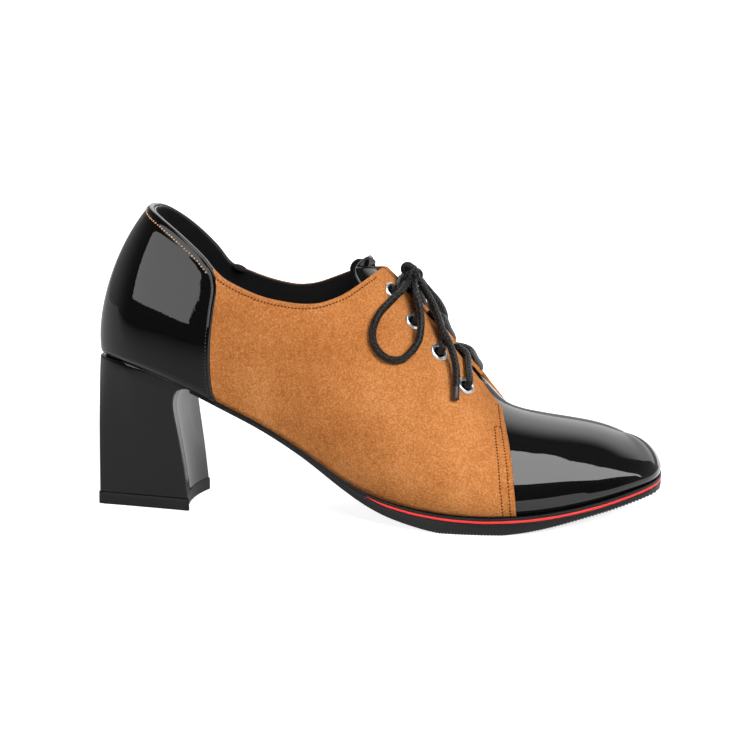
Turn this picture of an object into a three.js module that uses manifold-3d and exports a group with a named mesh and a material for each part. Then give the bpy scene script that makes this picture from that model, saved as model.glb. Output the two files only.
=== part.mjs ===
// Lace-up block heel pump, right shoe: a patent vamp, tongue and counter with suede quarters,
// four pairs of eyelets, a round cord lace tied in a bow, a thin sole with a contrast stripe
// along its edge, and a flared block heel with a rubber tip.
//
// Millimetres. The origin is the centre of the heel tip's resting face, on the floor.
// +X points to the toe, -Y to the outer side of the foot, +Z up.

import * as THREE from "three";
import { mergeVertices } from "three/addons/utils/BufferGeometryUtils.js";
import Module from "manifold-3d";

const wasm = await Module();
wasm.setup();

// Driving dimensions of the last, the form that the shoe is built on
const LAST_LENGTH = 237.1; // feather line, from the back of the heel to the toe tip
const BALL_WIDTH = 81; // feather line, across the ball
const HEEL_HEIGHT = 65.5; // floor to the feather line at the back of the heel
const TOE_SPRING = 10.4; // how far the toe tip's feather line lies above that of the ball
const INSTEP_HEIGHT = 103.8; // floor to the crest of the last at the top of the facings
const BACK_HEIGHT = 129; // floor to the top of the counter
const HEEL_SETBACK = 18.6; // back of the feather line to the middle of the heel tip

// Thicknesses
const WALL = 1.6; // upper with its lining
const QUARTER_THICKNESS = 1.2; // suede
const COUNTER_THICKNESS = 1.8; // patent with a turned edge, so it stands above the suede
const TONGUE_THICKNESS = 1.4;
const TONGUE_RISE = 3.2; // how far the tongue's top stands up from the last
const TONGUE_EASE = 4; // distance inside the collar over which it comes to stand up
const TONGUE_CLEARANCE = 1; // tongue to the upper over it
const INSOLE_THICKNESS = 2.4;
const MIDSOLE_THICKNESS = 1.1;
const STRIPE_THICKNESS = 0.9;
const OUTSOLE_THICKNESS = 4.5;
const TIP_THICKNESS = 5.2;
const GAP = 0.3; // between pieces that touch
const SEAT_GAP = 0.4; // upper to the sole under it

// Heel block
const TIP_LENGTH = 42.4;
const TIP_WIDTH = 41;
const HEEL_TOP_WIDTH = 50;
const HEEL_BREAST_REACH = 22.6; // middle of the tip to the front of the heel's top edge
const BREAST_HOLLOW = 3.4; // how far the breast is hollowed between its corners
const TIP_OVERHANG = 0.4; // how far the tip stands out from the heel

// Eyelets and lace
const EYELET_HOLE_RADIUS = 2.4;
const EYELET_FLANGE_RADIUS = 3.9;
const EYELET_FLANGE_HEIGHT = 0.7;
const EYELET_WALL = 0.35;
const LACE_DIAMETER = 3;

const MOST_ROW = 14; // number of the last row of SECTIONS, at the toe tip
const LATERAL = -1;
const MEDIAL = 1;

// The last's sections, from the back of the heel (row 0) to the toe tip (row 14).
// station and crest: shares of LAST_LENGTH, where a section's rib starts on the feather line and
// where it ends on the crest. lateral, medial, crestShift, bulge and welt: shares of BALL_WIDTH,
// the half widths of the feather line, the crest's shift to the inner side, how far the side wall
// swells over the feather line, and how far the sole stands out from it. fullness: exponent of
// the rib, 2 being an ellipse and more being squarer.
const SECTIONS = [
  { station: 0.0, lateral: 0.0, medial: 0.0, crest: 0.222, crestShift: 0.0, fullness: 1.82, bulge: 0.012, welt: 0.004 },
  { station: 0.0153, lateral: 0.135, medial: 0.135, crest: 0.224, crestShift: 0.0, fullness: 1.9, bulge: 0.014, welt: 0.004 },
  { station: 0.0655, lateral: 0.254, medial: 0.254, crest: 0.23, crestShift: 0.0, fullness: 2.15, bulge: 0.022, welt: 0.004 },
  { station: 0.1458, lateral: 0.311, medial: 0.307, crest: 0.251, crestShift: 0.004, fullness: 2.5, bulge: 0.033, welt: 0.006 },
  { station: 0.2552, lateral: 0.306, medial: 0.278, crest: 0.302, crestShift: 0.012, fullness: 2.6, bulge: 0.04, welt: 0.011 },
  { station: 0.3566, lateral: 0.315, medial: 0.256, crest: 0.37, crestShift: 0.022, fullness: 2.45, bulge: 0.043, welt: 0.017 },
  { station: 0.458, lateral: 0.362, medial: 0.315, crest: 0.458, crestShift: 0.035, fullness: 2.15, bulge: 0.047, welt: 0.025 },
  { station: 0.5513, lateral: 0.43, medial: 0.401, crest: 0.5513, crestShift: 0.04, fullness: 1.95, bulge: 0.045, welt: 0.03 },
  { station: 0.6437, lateral: 0.475, medial: 0.475, crest: 0.6437, crestShift: 0.042, fullness: 1.88, bulge: 0.04, welt: 0.032 },
  { station: 0.736, lateral: 0.468, medial: 0.525, crest: 0.736, crestShift: 0.045, fullness: 1.95, bulge: 0.034, welt: 0.032 },
  { station: 0.8294, lateral: 0.401, medial: 0.512, crest: 0.8253, crestShift: 0.056, fullness: 2.1, bulge: 0.028, welt: 0.03 },
  { station: 0.9137, lateral: 0.296, medial: 0.444, crest: 0.8906, crestShift: 0.072, fullness: 2.12, bulge: 0.022, welt: 0.025 },
  { station: 0.9659, lateral: 0.179, medial: 0.346, crest: 0.9197, crestShift: 0.08, fullness: 2.05, bulge: 0.017, welt: 0.017 },
  { station: 0.993, lateral: 0.062, medial: 0.235, crest: 0.9327, crestShift: 0.085, fullness: 2.0, bulge: 0.013, welt: 0.011 },
  { station: 1.0, lateral: -0.086, medial: 0.086, crest: 0.9348, crestShift: 0.086, fullness: 2.0, bulge: 0.011, welt: 0.008 },
];

// Height of the feather line. pitch: share of the rise from the ball to the heel.
// spring: share of TOE_SPRING.
const FEATHER = [
  { station: 0.0, pitch: 1.008, spring: 0 },
  { station: 0.0464, pitch: 0.998, spring: 0 },
  { station: 0.1066, pitch: 0.934, spring: 0 },
  { station: 0.1749, pitch: 0.822, spring: 0 },
  { station: 0.2321, pitch: 0.708, spring: 0 },
  { station: 0.3024, pitch: 0.568, spring: 0 },
  { station: 0.3756, pitch: 0.4, spring: 0 },
  { station: 0.4499, pitch: 0.212, spring: 0 },
  { station: 0.4981, pitch: 0.118, spring: 0 },
  { station: 0.5613, pitch: 0.05, spring: 0 },
  { station: 0.6286, pitch: 0.014, spring: 0 },
  { station: 0.6989, pitch: 0, spring: 0 },
  { station: 0.7621, pitch: 0, spring: 0.04 },
  { station: 0.8213, pitch: 0, spring: 0.16 },
  { station: 0.8886, pitch: 0, spring: 0.42 },
  { station: 0.9548, pitch: 0, spring: 0.77 },
  { station: 1.0, pitch: 0, spring: 1.0 },
  { station: 1.02, pitch: 0, spring: 1.1 },
];

// Height of the last's crest, a share of INSTEP_HEIGHT. Behind the facings it runs on up where the leg would be.
const CREST = [
  { station: 0.222, height: 1.385 },
  { station: 0.302, height: 1.365 },
  { station: 0.37, height: 1.27 },
  { station: 0.416, height: 1.18 },
  { station: 0.458, height: 1.087 },
  { station: 0.51, height: 0.979 },
  { station: 0.542, height: 0.904 },
  { station: 0.574, height: 0.828 },
  { station: 0.6085, height: 0.741 },
  { station: 0.645, height: 0.642 },
  { station: 0.682, height: 0.548 },
  { station: 0.703, height: 0.493 },
  { station: 0.724, height: 0.447 },
  { station: 0.753, height: 0.421 },
  { station: 0.787, height: 0.406 },
  { station: 0.825, height: 0.393 },
  { station: 0.8585, height: 0.382 },
  { station: 0.8946, height: 0.365 },
  { station: 0.935, height: 0.334 },
];

// Top edge of the upper, for the outer and the inner side: shares of BACK_HEIGHT
const TOPLINE_LATERAL = [
  { station: 0.0865, height: 1.003 },
  { station: 0.1247, height: 0.966 },
  { station: 0.1679, height: 0.912 },
  { station: 0.205, height: 0.853 },
  { station: 0.2221, height: 0.816 },
  { station: 0.2401, height: 0.786 },
  { station: 0.2733, height: 0.755 },
  { station: 0.3124, height: 0.728 },
  { station: 0.3616, height: 0.711 },
  { station: 0.3867, height: 0.708 },
  { station: 0.4098, height: 0.711 },
  { station: 0.4449, height: 0.733 },
  { station: 0.476, height: 0.768 },
  { station: 0.4971, height: 0.795 },
  { station: 0.5101, height: 0.806 },
];
const TOPLINE_MEDIAL = [
  { station: 0.0865, height: 1.003 },
  { station: 0.1227, height: 0.95 },
  { station: 0.1548, height: 0.895 },
  { station: 0.1849, height: 0.836 },
  { station: 0.208, height: 0.782 },
  { station: 0.2421, height: 0.757 },
  { station: 0.2793, height: 0.734 },
  { station: 0.3174, height: 0.72 },
  { station: 0.3425, height: 0.717 },
  { station: 0.3736, height: 0.726 },
  { station: 0.4138, height: 0.754 },
  { station: 0.4469, height: 0.778 },
  { station: 0.4981, height: 0.793 },
];

// Front edge of the counter: rise is the share of the wall's height, from the feather line to the top edge
const COUNTER_EDGE = [
  { rise: 0, station: 0.227 },
  { rise: 0.06, station: 0.221 },
  { rise: 0.2, station: 0.218 },
  { rise: 0.45, station: 0.2195 },
  { rise: 0.7, station: 0.225 },
  { rise: 0.86, station: 0.2296 },
  { rise: 0.95, station: 0.2276 },
  { rise: 1, station: 0.2221 },
];
const COUNTER_MEDIAL_SETBACK = 2.5; // how much further back the inner front edge lies

// How far the two facings' edges lie from the crest, shares of BALL_WIDTH
const THROAT = [
  { station: 0.488, lateral: 0.045, medial: 0.05 },
  { station: 0.51, lateral: 0.037, medial: 0.042 },
  { station: 0.551, lateral: 0.042, medial: 0.028 },
  { station: 0.5935, lateral: 0.05, medial: 0.014 },
  { station: 0.6437, lateral: 0.066, medial: 0.018 },
  { station: 0.682, lateral: 0.085, medial: 0.035 },
  { station: 0.699, lateral: 0.1, medial: 0.05 },
  { station: 0.72, lateral: 0.12, medial: 0.07 },
];
const FACING_BOTTOM = 0.683; // station where the facing's edge turns down into the vamp seam

// Vamp seam, from that turn down to the feather line: heights are shares of INSTEP_HEIGHT
const VAMP_SEAM = [
  { station: 0.7045, height: 0.503 },
  { station: 0.7125, height: 0.478 },
  { station: 0.7245, height: 0.428 },
  { station: 0.736, height: 0.376 },
  { station: 0.748, height: 0.305 },
  { station: 0.7555, height: 0.23 },
  { station: 0.7606, height: 0.15 },
];
const SEAM_MEDIAL_SETBACK = 3.5; // how much further back the inner seam lies
const VAMP_SEAM_END = 0.7631; // station where the seam meets the feather line

// Eyelets from the top pair to the bottom pair. inset: eyelet's middle to the facing's edge, square to
// it, a share of BALL_WIDTH. meet: where the pair's strands meet in the gap.
const EYELETS = [
  { station: 0.525, inset: 0.076, meet: 0.531 },
  { station: 0.5645, inset: 0.106, meet: 0.541 },
  { station: 0.61, inset: 0.112, meet: 0.5845 },
  { station: 0.659, inset: 0.12, meet: 0.633 },
];
const MEDIAL_EYELET_SHIFT = 0.035; // how much further from the edge the inner eyelets lie

// Tongue, from its rounded top to its end under the vamp. half: half width, a share of BALL_WIDTH.
// lift: how far it stands off the last, a share of TONGUE_RISE.
const TONGUE = [
  { station: 0.479, half: 0.03, lift: 1 },
  { station: 0.4805, half: 0.09, lift: 1 },
  { station: 0.485, half: 0.13, lift: 0.95 },
  { station: 0.493, half: 0.165, lift: 0.8 },
  { station: 0.503, half: 0.185, lift: 0.5 },
  { station: 0.515, half: 0.2, lift: 0.12 },
  { station: 0.535, half: 0.205, lift: 0 },
  { station: 0.58, half: 0.215, lift: 0 },
  { station: 0.64, half: 0.22, lift: 0 },
  { station: 0.709, half: 0.2, lift: 0 },
];

// Colours and finishes
const patent = new THREE.MeshStandardMaterial({ name: "patent", color: 0x0b0b0d, roughness: 0.08, metalness: 0 });
const suede = new THREE.MeshStandardMaterial({ name: "suede", color: 0xc47b38, roughness: 0.95, metalness: 0 });
const rubber = new THREE.MeshStandardMaterial({ name: "rubber", color: 0x1c1b1e, roughness: 0.55, metalness: 0 });
const stripeRed = new THREE.MeshStandardMaterial({ name: "stripe", color: 0xd8322f, roughness: 0.45, metalness: 0 });
const lining = new THREE.MeshStandardMaterial({ name: "lining", color: 0x121214, roughness: 0.8, metalness: 0 });
const nickel = new THREE.MeshStandardMaterial({ name: "nickel", color: 0xd9d9dc, roughness: 0.15, metalness: 1 });
const cord = new THREE.MeshStandardMaterial({ name: "cord", color: 0x17171a, roughness: 0.5, metalness: 0 });

const shoe = new THREE.Group();
shoe.name = "lace_up_block_heel_pump";

// Small tools

const stationToX = (share) => share * LAST_LENGTH - HEEL_SETBACK;
const xToStation = (x) => (x + HEEL_SETBACK) / LAST_LENGTH;
const clamp = (value, low, high) => Math.min(high, Math.max(low, value));
const steps = (count) => Array.from({ length: count + 1 }, (_, i) => i / count);

// Smooth function through a table's rows: value(at) follows the column over the key, and holds its end values.
function follow(rows, key, column) {
  const tangent = rows.map((row, i) => {
    const before = rows[Math.max(i - 1, 0)];
    const after = rows[Math.min(i + 1, rows.length - 1)];
    return (after[column] - before[column]) / (after[key] - before[key]);
  });
  return (at) => {
    const x = clamp(at, rows[0][key], rows[rows.length - 1][key]);
    const i = clamp(rows.findIndex((row) => row[key] > x) - 1, 0, rows.length - 2);
    const last = x >= rows[rows.length - 1][key];
    const k = last ? rows.length - 2 : i;
    const span = rows[k + 1][key] - rows[k][key];
    const t = (x - rows[k][key]) / span;
    const a = rows[k][column];
    const b = rows[k + 1][column];
    const rise = tangent[k] * span;
    const fall = tangent[k + 1] * span;
    return a + t * (rise + t * (3 * (b - a) - 2 * rise - fall + t * (rise + fall - 2 * (b - a))));
  };
}

// Smooth curve through a table's column by row number; before and after are the values past its ends.
function throughRows(rows, column, before, after) {
  const values = [before, ...rows.map((row) => row[column]), after];
  return (row) => {
    const i = clamp(Math.floor(row), 0, rows.length - 2);
    const t = row - i;
    const [p0, p1, p2, p3] = values.slice(i, i + 4);
    return p1 + 0.5 * t * (p2 - p0 + t * (2 * p0 - 5 * p1 + 4 * p2 - p3 + t * (3 * (p1 - p2) + p3 - p0)));
  };
}

const nextToTip = SECTIONS[MOST_ROW - 1];
const nextToBack = SECTIONS[1];
const mirrored = (column) => [nextToBack[column], nextToTip[column]];
const alongRows = (column, before, after) => throughRows(SECTIONS, column, before, after);
const rowStation = alongRows("station", ...mirrored("station"));
const rowLateral = alongRows("lateral", -nextToBack.medial, -nextToTip.medial);
const rowMedial = alongRows("medial", -nextToBack.lateral, -nextToTip.lateral);
const rowCrest = alongRows("crest", ...mirrored("crest"));
const rowShift = alongRows("crestShift", ...mirrored("crestShift"));
const rowFullness = alongRows("fullness", ...mirrored("fullness"));
const rowBulge = alongRows("bulge", ...mirrored("bulge"));
const rowWelt = alongRows("welt", ...mirrored("welt"));

const pitchAt = follow(FEATHER, "station", "pitch");
const springAt = follow(FEATHER, "station", "spring");
const crestAt = follow(CREST, "station", "height");
const toplineAt = {
  [LATERAL]: follow(TOPLINE_LATERAL, "station", "height"),
  [MEDIAL]: follow(TOPLINE_MEDIAL, "station", "height"),
};
const counterEdgeAt = follow(COUNTER_EDGE, "rise", "station");
const openingAt = {
  [LATERAL]: follow(THROAT, "station", "lateral"),
  [MEDIAL]: follow(THROAT, "station", "medial"),
};
const tongueHalfAt = follow(TONGUE, "station", "half");
const tongueLiftAt = follow(TONGUE, "station", "lift");

// Heights that the layers of the sole give
const BALL_RISE = OUTSOLE_THICKNESS + STRIPE_THICKNESS + MIDSOLE_THICKNESS + 2 * GAP + SEAT_GAP;
const featherZ = (x) =>
  BALL_RISE + pitchAt(xToStation(x)) * (HEEL_HEIGHT - BALL_RISE) + springAt(xToStation(x)) * TOE_SPRING;
const crestZ = (x) => INSTEP_HEIGHT * crestAt(xToStation(x));
const midsoleTopZ = (x) => featherZ(x) - SEAT_GAP;
const midsoleBottomZ = (x) => midsoleTopZ(x) - MIDSOLE_THICKNESS;

// The last

// A rib starts on the feather line at foot and ends on the crest at top.
function rib(side, row) {
  const x = stationToX(rowStation(row));
  const y = side * BALL_WIDTH * (side === LATERAL ? rowLateral(row) : rowMedial(row));
  const crestX = stationToX(rowCrest(row));
  const foot = new THREE.Vector3(x, y, featherZ(x));
  const top = new THREE.Vector3(crestX, BALL_WIDTH * rowShift(row), crestZ(crestX));
  const reach = Math.hypot(top.x - foot.x, top.y - foot.y);
  const inward = new THREE.Vector3((top.x - foot.x) / reach, (top.y - foot.y) / reach, 0);
  const slope = inward.x * (crestZ(crestX + 1) - crestZ(crestX - 1)) / 2;
  return { foot, top, reach, inward, slope };
}

const BULGE_AT = 0.17; // share of the rib where the side wall swells most

// Point of the last's surface: row along it, and up from 0 on the feather line to 1 on the crest.
function lastPoint(side, row, up) {
  const { foot, top, reach, inward, slope } = rib(side, row);
  const fullness = rowFullness(row);
  const angle = (clamp(up, 0, 1) * Math.PI) / 2;
  const across = Math.max(Math.cos(angle), 0) ** (2 / fullness);
  const rise = Math.sin(angle) ** (2 / fullness);
  const swell = BALL_WIDTH * rowBulge(row) * (up / BULGE_AT) * Math.exp(1 - up / BULGE_AT) * (1 - up ** 4);
  const inset = reach * (1 - across);
  return new THREE.Vector3(
    foot.x + inward.x * (inset - swell),
    foot.y + inward.y * (inset - swell),
    foot.z + rise * (top.z - foot.z - slope * reach) + slope * inset,
  );
}

const ROW_STEP = 0.02;
const UP_STEP = 0.01;
const LEVEL_BELOW = 0.08; // under this share of the rib the normal turns level, so that edges stay over the sole

// Outward normal of the last. On the crest, at the back and at the toe tip it stays in the rib's own plane.
function lastNormal(side, row, up) {
  const high = Math.min(up + UP_STEP, 1);
  const low = Math.max(high - 2 * UP_STEP, 0);
  const alongRib = lastPoint(side, row, high).sub(lastPoint(side, row, low));
  const onCrest = up > 1 - 1e-6;
  if (onCrest) {
    const { top } = rib(side, row);
    const normal = new THREE.Vector3(-(crestZ(top.x + 1) - crestZ(top.x - 1)) / 2, 0, 1);
    return normal.normalize();
  }
  const atEnd = row < 1e-6 || row > MOST_ROW - 1e-6;
  const alongShoe = atEnd
    ? new THREE.Vector3(0, row < 1 ? side : -side, 0)
    : lastPoint(side, Math.min(row + ROW_STEP, MOST_ROW), up).sub(lastPoint(side, Math.max(row - ROW_STEP, 0), up));
  const normal = alongShoe.cross(alongRib).multiplyScalar(-side);
  normal.normalize();
  normal.z *= clamp(up / LEVEL_BELOW, 0, 1);
  return normal.normalize();
}

const offsetPoint = (side, row, up, offset) =>
  lastPoint(side, row, up).addScaledVector(lastNormal(side, row, up), offset);

// Halves the range until the sign of test(value) is pinned down; test is below 0 at low.
function bisect(low, high, test) {
  for (let i = 0; i < 40; i += 1) {
    const middle = (low + high) / 2;
    if (test(middle) < 0) low = middle;
    else high = middle;
  }
  return (low + high) / 2;
}

// Up of the point of a rib that lies this far from the crest, across the shoe
const upNearCrest = (side, row, distance) =>
  bisect(0.3, 1, (up) => distance - Math.abs(lastPoint(side, row, up).y - rib(side, row).top.y));

const rowAtStation = (side, share) => bisect(0, MOST_ROW, (r) => rowCrest(r) - share);

// Up of the top edge of the collar on a rib
const upAtTopline = (side, row) =>
  bisect(0, 1, (up) => {
    const point = lastPoint(side, row, up);
    return point.z - BACK_HEIGHT * toplineAt[side](xToStation(point.x));
  });

// Up of the facing's edge on a rib, or of a line that lies further back from the crest by the recess
const facingUp = (side, row, recess) =>
  upNearCrest(side, row, BALL_WIDTH * openingAt[side](rowCrest(row)) + recess);

const SEAM_STEPS = 24;
// Top edge of the wall on a rib: the collar's or, in front of the facing's corner, the facing's
const wallTop = (side, row, recess) =>
  row < MOST_ROW / 3 ? upAtTopline(side, row) : Math.min(upAtTopline(side, row), facingUp(side, row, recess));

const cornerRow = (side) =>
  bisect(MOST_ROW / 3, MOST_ROW / 2, (row) => upAtTopline(side, row) - facingUp(side, row, 0));
const facingBottomRow = rowAtStation(LATERAL, FACING_BOTTOM);

// Solids from grids of points

function geometryOf(triangles) {
  const geometry = new THREE.BufferGeometry();
  geometry.setAttribute("position", new THREE.Float32BufferAttribute(triangles.flatMap((p) => [p.x, p.y, p.z]), 3));
  return geometry;
}

function signedVolume(triangles) {
  let sum = 0;
  for (let i = 0; i < triangles.length; i += 3) {
    sum += triangles[i].dot(triangles[i + 1].clone().cross(triangles[i + 2]));
  }
  return sum / 6;
}

// Whether the diagonal from [i][j] to [n][j + 1] stands further out than the other one. Layers over
// each other pick the same diagonals by this, so that their facets lie alike.
function isRaised(outer, inner, i, n, j) {
  const out = outer[i][j].clone().sub(inner[i][j]);
  const here = outer[i][j].clone().add(outer[n][j + 1]);
  const other = outer[n][j].clone().add(outer[i][j + 1]);
  return here.sub(other).dot(out) > 0;
}

// Closed solid between two grids of the same size. wrap joins the last column to the first.
// closed(i) says that column i's top end meets its mirror image, so that no edge is needed there.
// guide: the two grids that the diagonals are picked by.
function slab(outer, inner, { wrap = false, closed = () => false, guide = [outer, inner] } = {}) {
  const triangles = [];
  const quad = (a, b, c, d, turned = false) =>
    triangles.push(...(turned ? [a, b, d, b, c, d] : [a, b, c, a, c, d]));
  const columns = outer.length;
  const rows = outer[0].length;
  const pairs = wrap ? columns : columns - 1;
  for (let i = 0; i < pairs; i += 1) {
    const n = (i + 1) % columns;
    for (let j = 0; j + 1 < rows; j += 1) {
      const turned = !isRaised(...guide, i, n, j);
      quad(outer[i][j], outer[n][j], outer[n][j + 1], outer[i][j + 1], turned);
      quad(inner[i][j + 1], inner[n][j + 1], inner[n][j], inner[i][j], !turned);
    }
    quad(inner[i][0], inner[n][0], outer[n][0], outer[i][0]);
    if (!(closed(i) && closed(n))) {
      quad(outer[i][rows - 1], outer[n][rows - 1], inner[n][rows - 1], inner[i][rows - 1]);
    }
  }
  if (!wrap) {
    for (let j = 0; j + 1 < rows; j += 1) {
      quad(outer[0][j], outer[0][j + 1], inner[0][j + 1], inner[0][j]);
      quad(inner[columns - 1][j], inner[columns - 1][j + 1], outer[columns - 1][j + 1], outer[columns - 1][j]);
    }
  }
  if (signedVolume(triangles) < 0) triangles.reverse();
  return geometryOf(triangles);
}

function toManifold(geometry) {
  const bare = new THREE.BufferGeometry();
  const source = geometry.index ? geometry.toNonIndexed() : geometry;
  bare.setAttribute("position", source.getAttribute("position"));
  const merged = mergeVertices(bare, 1e-4);
  return new wasm.Manifold(
    new wasm.Mesh({
      numProp: 3,
      vertProperties: merged.attributes.position.array,
      triVerts: new Uint32Array(merged.index.array),
    }),
  );
}

function fromManifold(solid) {
  const mesh = solid.getMesh();
  const geometry = new THREE.BufferGeometry();
  geometry.setAttribute("position", new THREE.BufferAttribute(new Float32Array(mesh.vertProperties), 3));
  geometry.setIndex(new THREE.BufferAttribute(new Uint32Array(mesh.triVerts), 1));
  return geometry;
}

function addNode(name, geometry, material) {
  const mesh = new THREE.Mesh(geometry, material);
  mesh.name = name;
  shoe.add(mesh);
  return mesh;
}

// Upper: vamp, side walls and lining as one hollow shell, open at collar, throat and underneath

const COLUMN_STEPS = 32; // on each side
const UPPER_ROWS = 8;
const LOW_BUNCH = 1.35; // over 1 brings the rows closer together near the feather line, where the wall turns
const THROAT_RECESS = 0.8; // the shell's own edges lie this far back under the facings' edges
const THROAT_FRONT = 0.12; // rows over which the throat closes in front of the facings
const COLLAR_BEND = 0.2; // rows behind the facings' top corner where the collar's edge turns down

// Rows of the columns that all the layers share. They bunch a little at the back and at the toe
// tip, where the outline turns. The nearest ones move to the throat's corners, and two more stand beside these.
const columnRows = steps(COLUMN_STEPS).map((share) => MOST_ROW * (share - 0.018 * Math.sin(2 * Math.PI * share)));
for (const row of [cornerRow(LATERAL), cornerRow(MEDIAL), facingBottomRow]) {
  const distance = columnRows.map((other) => Math.abs(other - row));
  columnRows[distance.indexOf(Math.min(...distance))] = row;
}
columnRows.push(cornerRow(LATERAL) - COLLAR_BEND, facingBottomRow + THROAT_FRONT);
columnRows.sort((a, b) => a - b);

const upperTop = (side, row) => (row > facingBottomRow + 1e-6 ? 1 : wallTop(side, row, THROAT_RECESS));

// Grids of a wall over columns of side and row, from the feather line up to their tops
const wallGrid = (columns, offset) =>
  columns.map(({ side, row, top }) =>
    steps(UPPER_ROWS).map((share) =>
      offsetPoint(share === 1 && top === 1 ? LATERAL : side, row, share ** LOW_BUNCH * top, offset),
    ),
  );

function upperGeometry() {
  const columns = [
    ...columnRows.map((row) => ({ side: LATERAL, row })),
    ...columnRows.slice(1, -1).reverse().map((row) => ({ side: MEDIAL, row })),
  ].map((column) => ({ ...column, top: upperTop(column.side, column.row) }));
  return slab(wallGrid(columns, 0), wallGrid(columns, -WALL), { wrap: true, closed: (i) => columns[i].top === 1 });
}

// Overlays: layers over the upper, from the same columns, cut along the seams that a side view shows

const REACH = 400; // larger than the shoe

// Prism across one side of the shoe, from an outline of [x, z] points in side view
function sideCutter(side, outline) {
  const shape = new THREE.Shape(outline.map(([x, z]) => new THREE.Vector2(x, z)));
  const prism = new THREE.ExtrudeGeometry(shape, { depth: REACH, bevelEnabled: false, steps: 1 });
  prism.rotateX(Math.PI / 2);
  if (side === MEDIAL) prism.translate(0, REACH, 0);
  return toManifold(prism);
}

const seamCurve = new THREE.CatmullRomCurve3([
  ...VAMP_SEAM.map((p) => new THREE.Vector3(stationToX(p.station), 0, INSTEP_HEIGHT * p.height)),
  new THREE.Vector3(stationToX(VAMP_SEAM_END), 0, featherZ(stationToX(VAMP_SEAM_END))),
]);
const seamLine = (side) =>
  seamCurve.getPoints(SEAM_STEPS).map((p) => [p.x - (side === MEDIAL ? SEAM_MEDIAL_SETBACK : 0), p.z]);

// All that lies in front of the vamp seam
function frontOfSeam(side) {
  const line = seamLine(side);
  const [topX, topZ] = line[0];
  const [endX] = line[SEAM_STEPS];
  return sideCutter(side, [[topX - 2 * GAP, topZ + BALL_WIDTH], ...line, [endX, -REACH], [REACH, -REACH], [REACH, REACH]]);
}

// Front edge of the counter on one side, from the feather line up
const counterLine = (side) =>
  steps(SEAM_STEPS).map((rise) => {
    const setback = side === MEDIAL ? COUNTER_MEDIAL_SETBACK : 0;
    const x = stationToX(counterEdgeAt(rise)) - setback;
    const topZ = BACK_HEIGHT * toplineAt[side](xToStation(x));
    return [x, featherZ(x) + rise * (topZ - featherZ(x))];
  });

function behindCounterEdge(side, forward) {
  const line = counterLine(side).map(([x, z]) => [x + forward, z]);
  const [lowX] = line[0];
  const [highX] = line[SEAM_STEPS];
  return sideCutter(side, [[lowX, -REACH], ...line, [highX, REACH], [-REACH, REACH], [-REACH, -REACH]]);
}

const layer = (columns, from, thickness) =>
  slab(wallGrid(columns, from + thickness), wallGrid(columns, from), {
    guide: [wallGrid(columns, 0), wallGrid(columns, -WALL)],
  });

function quarterGeometry(side) {
  const last = columnRows.findIndex((row) => rowStation(row) > VAMP_SEAM_END) + 1;
  const first = columnRows.findIndex((row) => rowStation(row) > COUNTER_EDGE[0].station) - 3;
  const columns = columnRows.slice(first, last + 1).map((row) => ({ side, row, top: wallTop(side, row, 0) }));
  const strip = layer(columns, GAP, QUARTER_THICKNESS);
  return fromManifold(toManifold(strip).subtract(frontOfSeam(side)).subtract(behindCounterEdge(side, GAP)));
}

// Counter: the patent piece round the heel, from its outer to its inner front edge
function counterGeometry() {
  const last = columnRows.findIndex((row) => rowStation(row) > COUNTER_EDGE[0].station) + 1;
  const rows = columnRows.slice(0, last + 1);
  const columns = [
    ...rows.slice(1).reverse().map((row) => ({ side: MEDIAL, row, top: wallTop(MEDIAL, row, 0) })),
    ...rows.map((row) => ({ side: LATERAL, row, top: wallTop(LATERAL, row, 0) })),
  ];
  const strip = toManifold(layer(columns, SEAT_GAP, COUNTER_THICKNESS));
  return fromManifold(strip.intersect(behindCounterEdge(LATERAL, 0).add(behindCounterEdge(MEDIAL, 0))));
}

// Tongue: lies under the facings and stands above them at the top

const TONGUE_COLUMNS = 12;
const TONGUE_ROWS = 8; // across
const TONGUE_LEAN = 1.1; // how much further back its sides lie, for each millimetre that they lie lower

// Up of the point of a rib that lies this far to the side of the crest, and how far it has dropped from it
function besideCrest(side, row, distance) {
  const up = distance < 1e-6 ? 1 : upNearCrest(side, row, distance);
  return { up, drop: rib(side, row).top.z - lastPoint(side, row, up).z };
}

// 1 where no wall of the upper lies over the tongue, down to 0 where one does
function uncovered(side, row, distance) {
  const wall = lastPoint(side, row, wallTop(side, row, 0));
  const open = Math.abs(wall.y - rib(side, row).top.y);
  return clamp((open - distance) / TONGUE_EASE - 1.7, 0, 1);
}

function tongueGeometry() {
  const first = TONGUE[0].station;
  const last = TONGUE[TONGUE.length - 1].station;
  const outerOffset = -WALL - TONGUE_CLEARANCE;
  const gridAt = (offset) =>
    steps(TONGUE_COLUMNS).map((share) => {
      const station = first + share ** 1.6 * (last - first);
      return steps(TONGUE_ROWS).map((across) => {
        const side = across < 0.5 ? LATERAL : MEDIAL;
        const distance = BALL_WIDTH * tongueHalfAt(station) * Math.abs(2 * across - 1);
        const { drop } = besideCrest(side, rowAtStation(side, station), distance);
        const lean = TONGUE_LEAN * (1 - share) * drop / LAST_LENGTH;
        const row = rowAtStation(side, station - lean);
        const lift = TONGUE_RISE * tongueLiftAt(station) * uncovered(side, row, distance);
        return offsetPoint(side, row, besideCrest(side, row, distance).up, offset + lift);
      });
    });
  return slab(gridAt(outerOffset), gridAt(outerOffset - TONGUE_THICKNESS));
}

// Plates of the sole: outline from the feather line, top and bottom heights from functions of x

// Point of the outline: welt scales how far it stands out by the sections' own column, more adds a distance.
function outlinePoint(side, row, welt, more) {
  const { foot } = rib(side, row);
  const out = lastNormal(side, row, 0);
  return foot.clone().addScaledVector(out, welt * BALL_WIDTH * rowWelt(row) + more);
}

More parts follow.
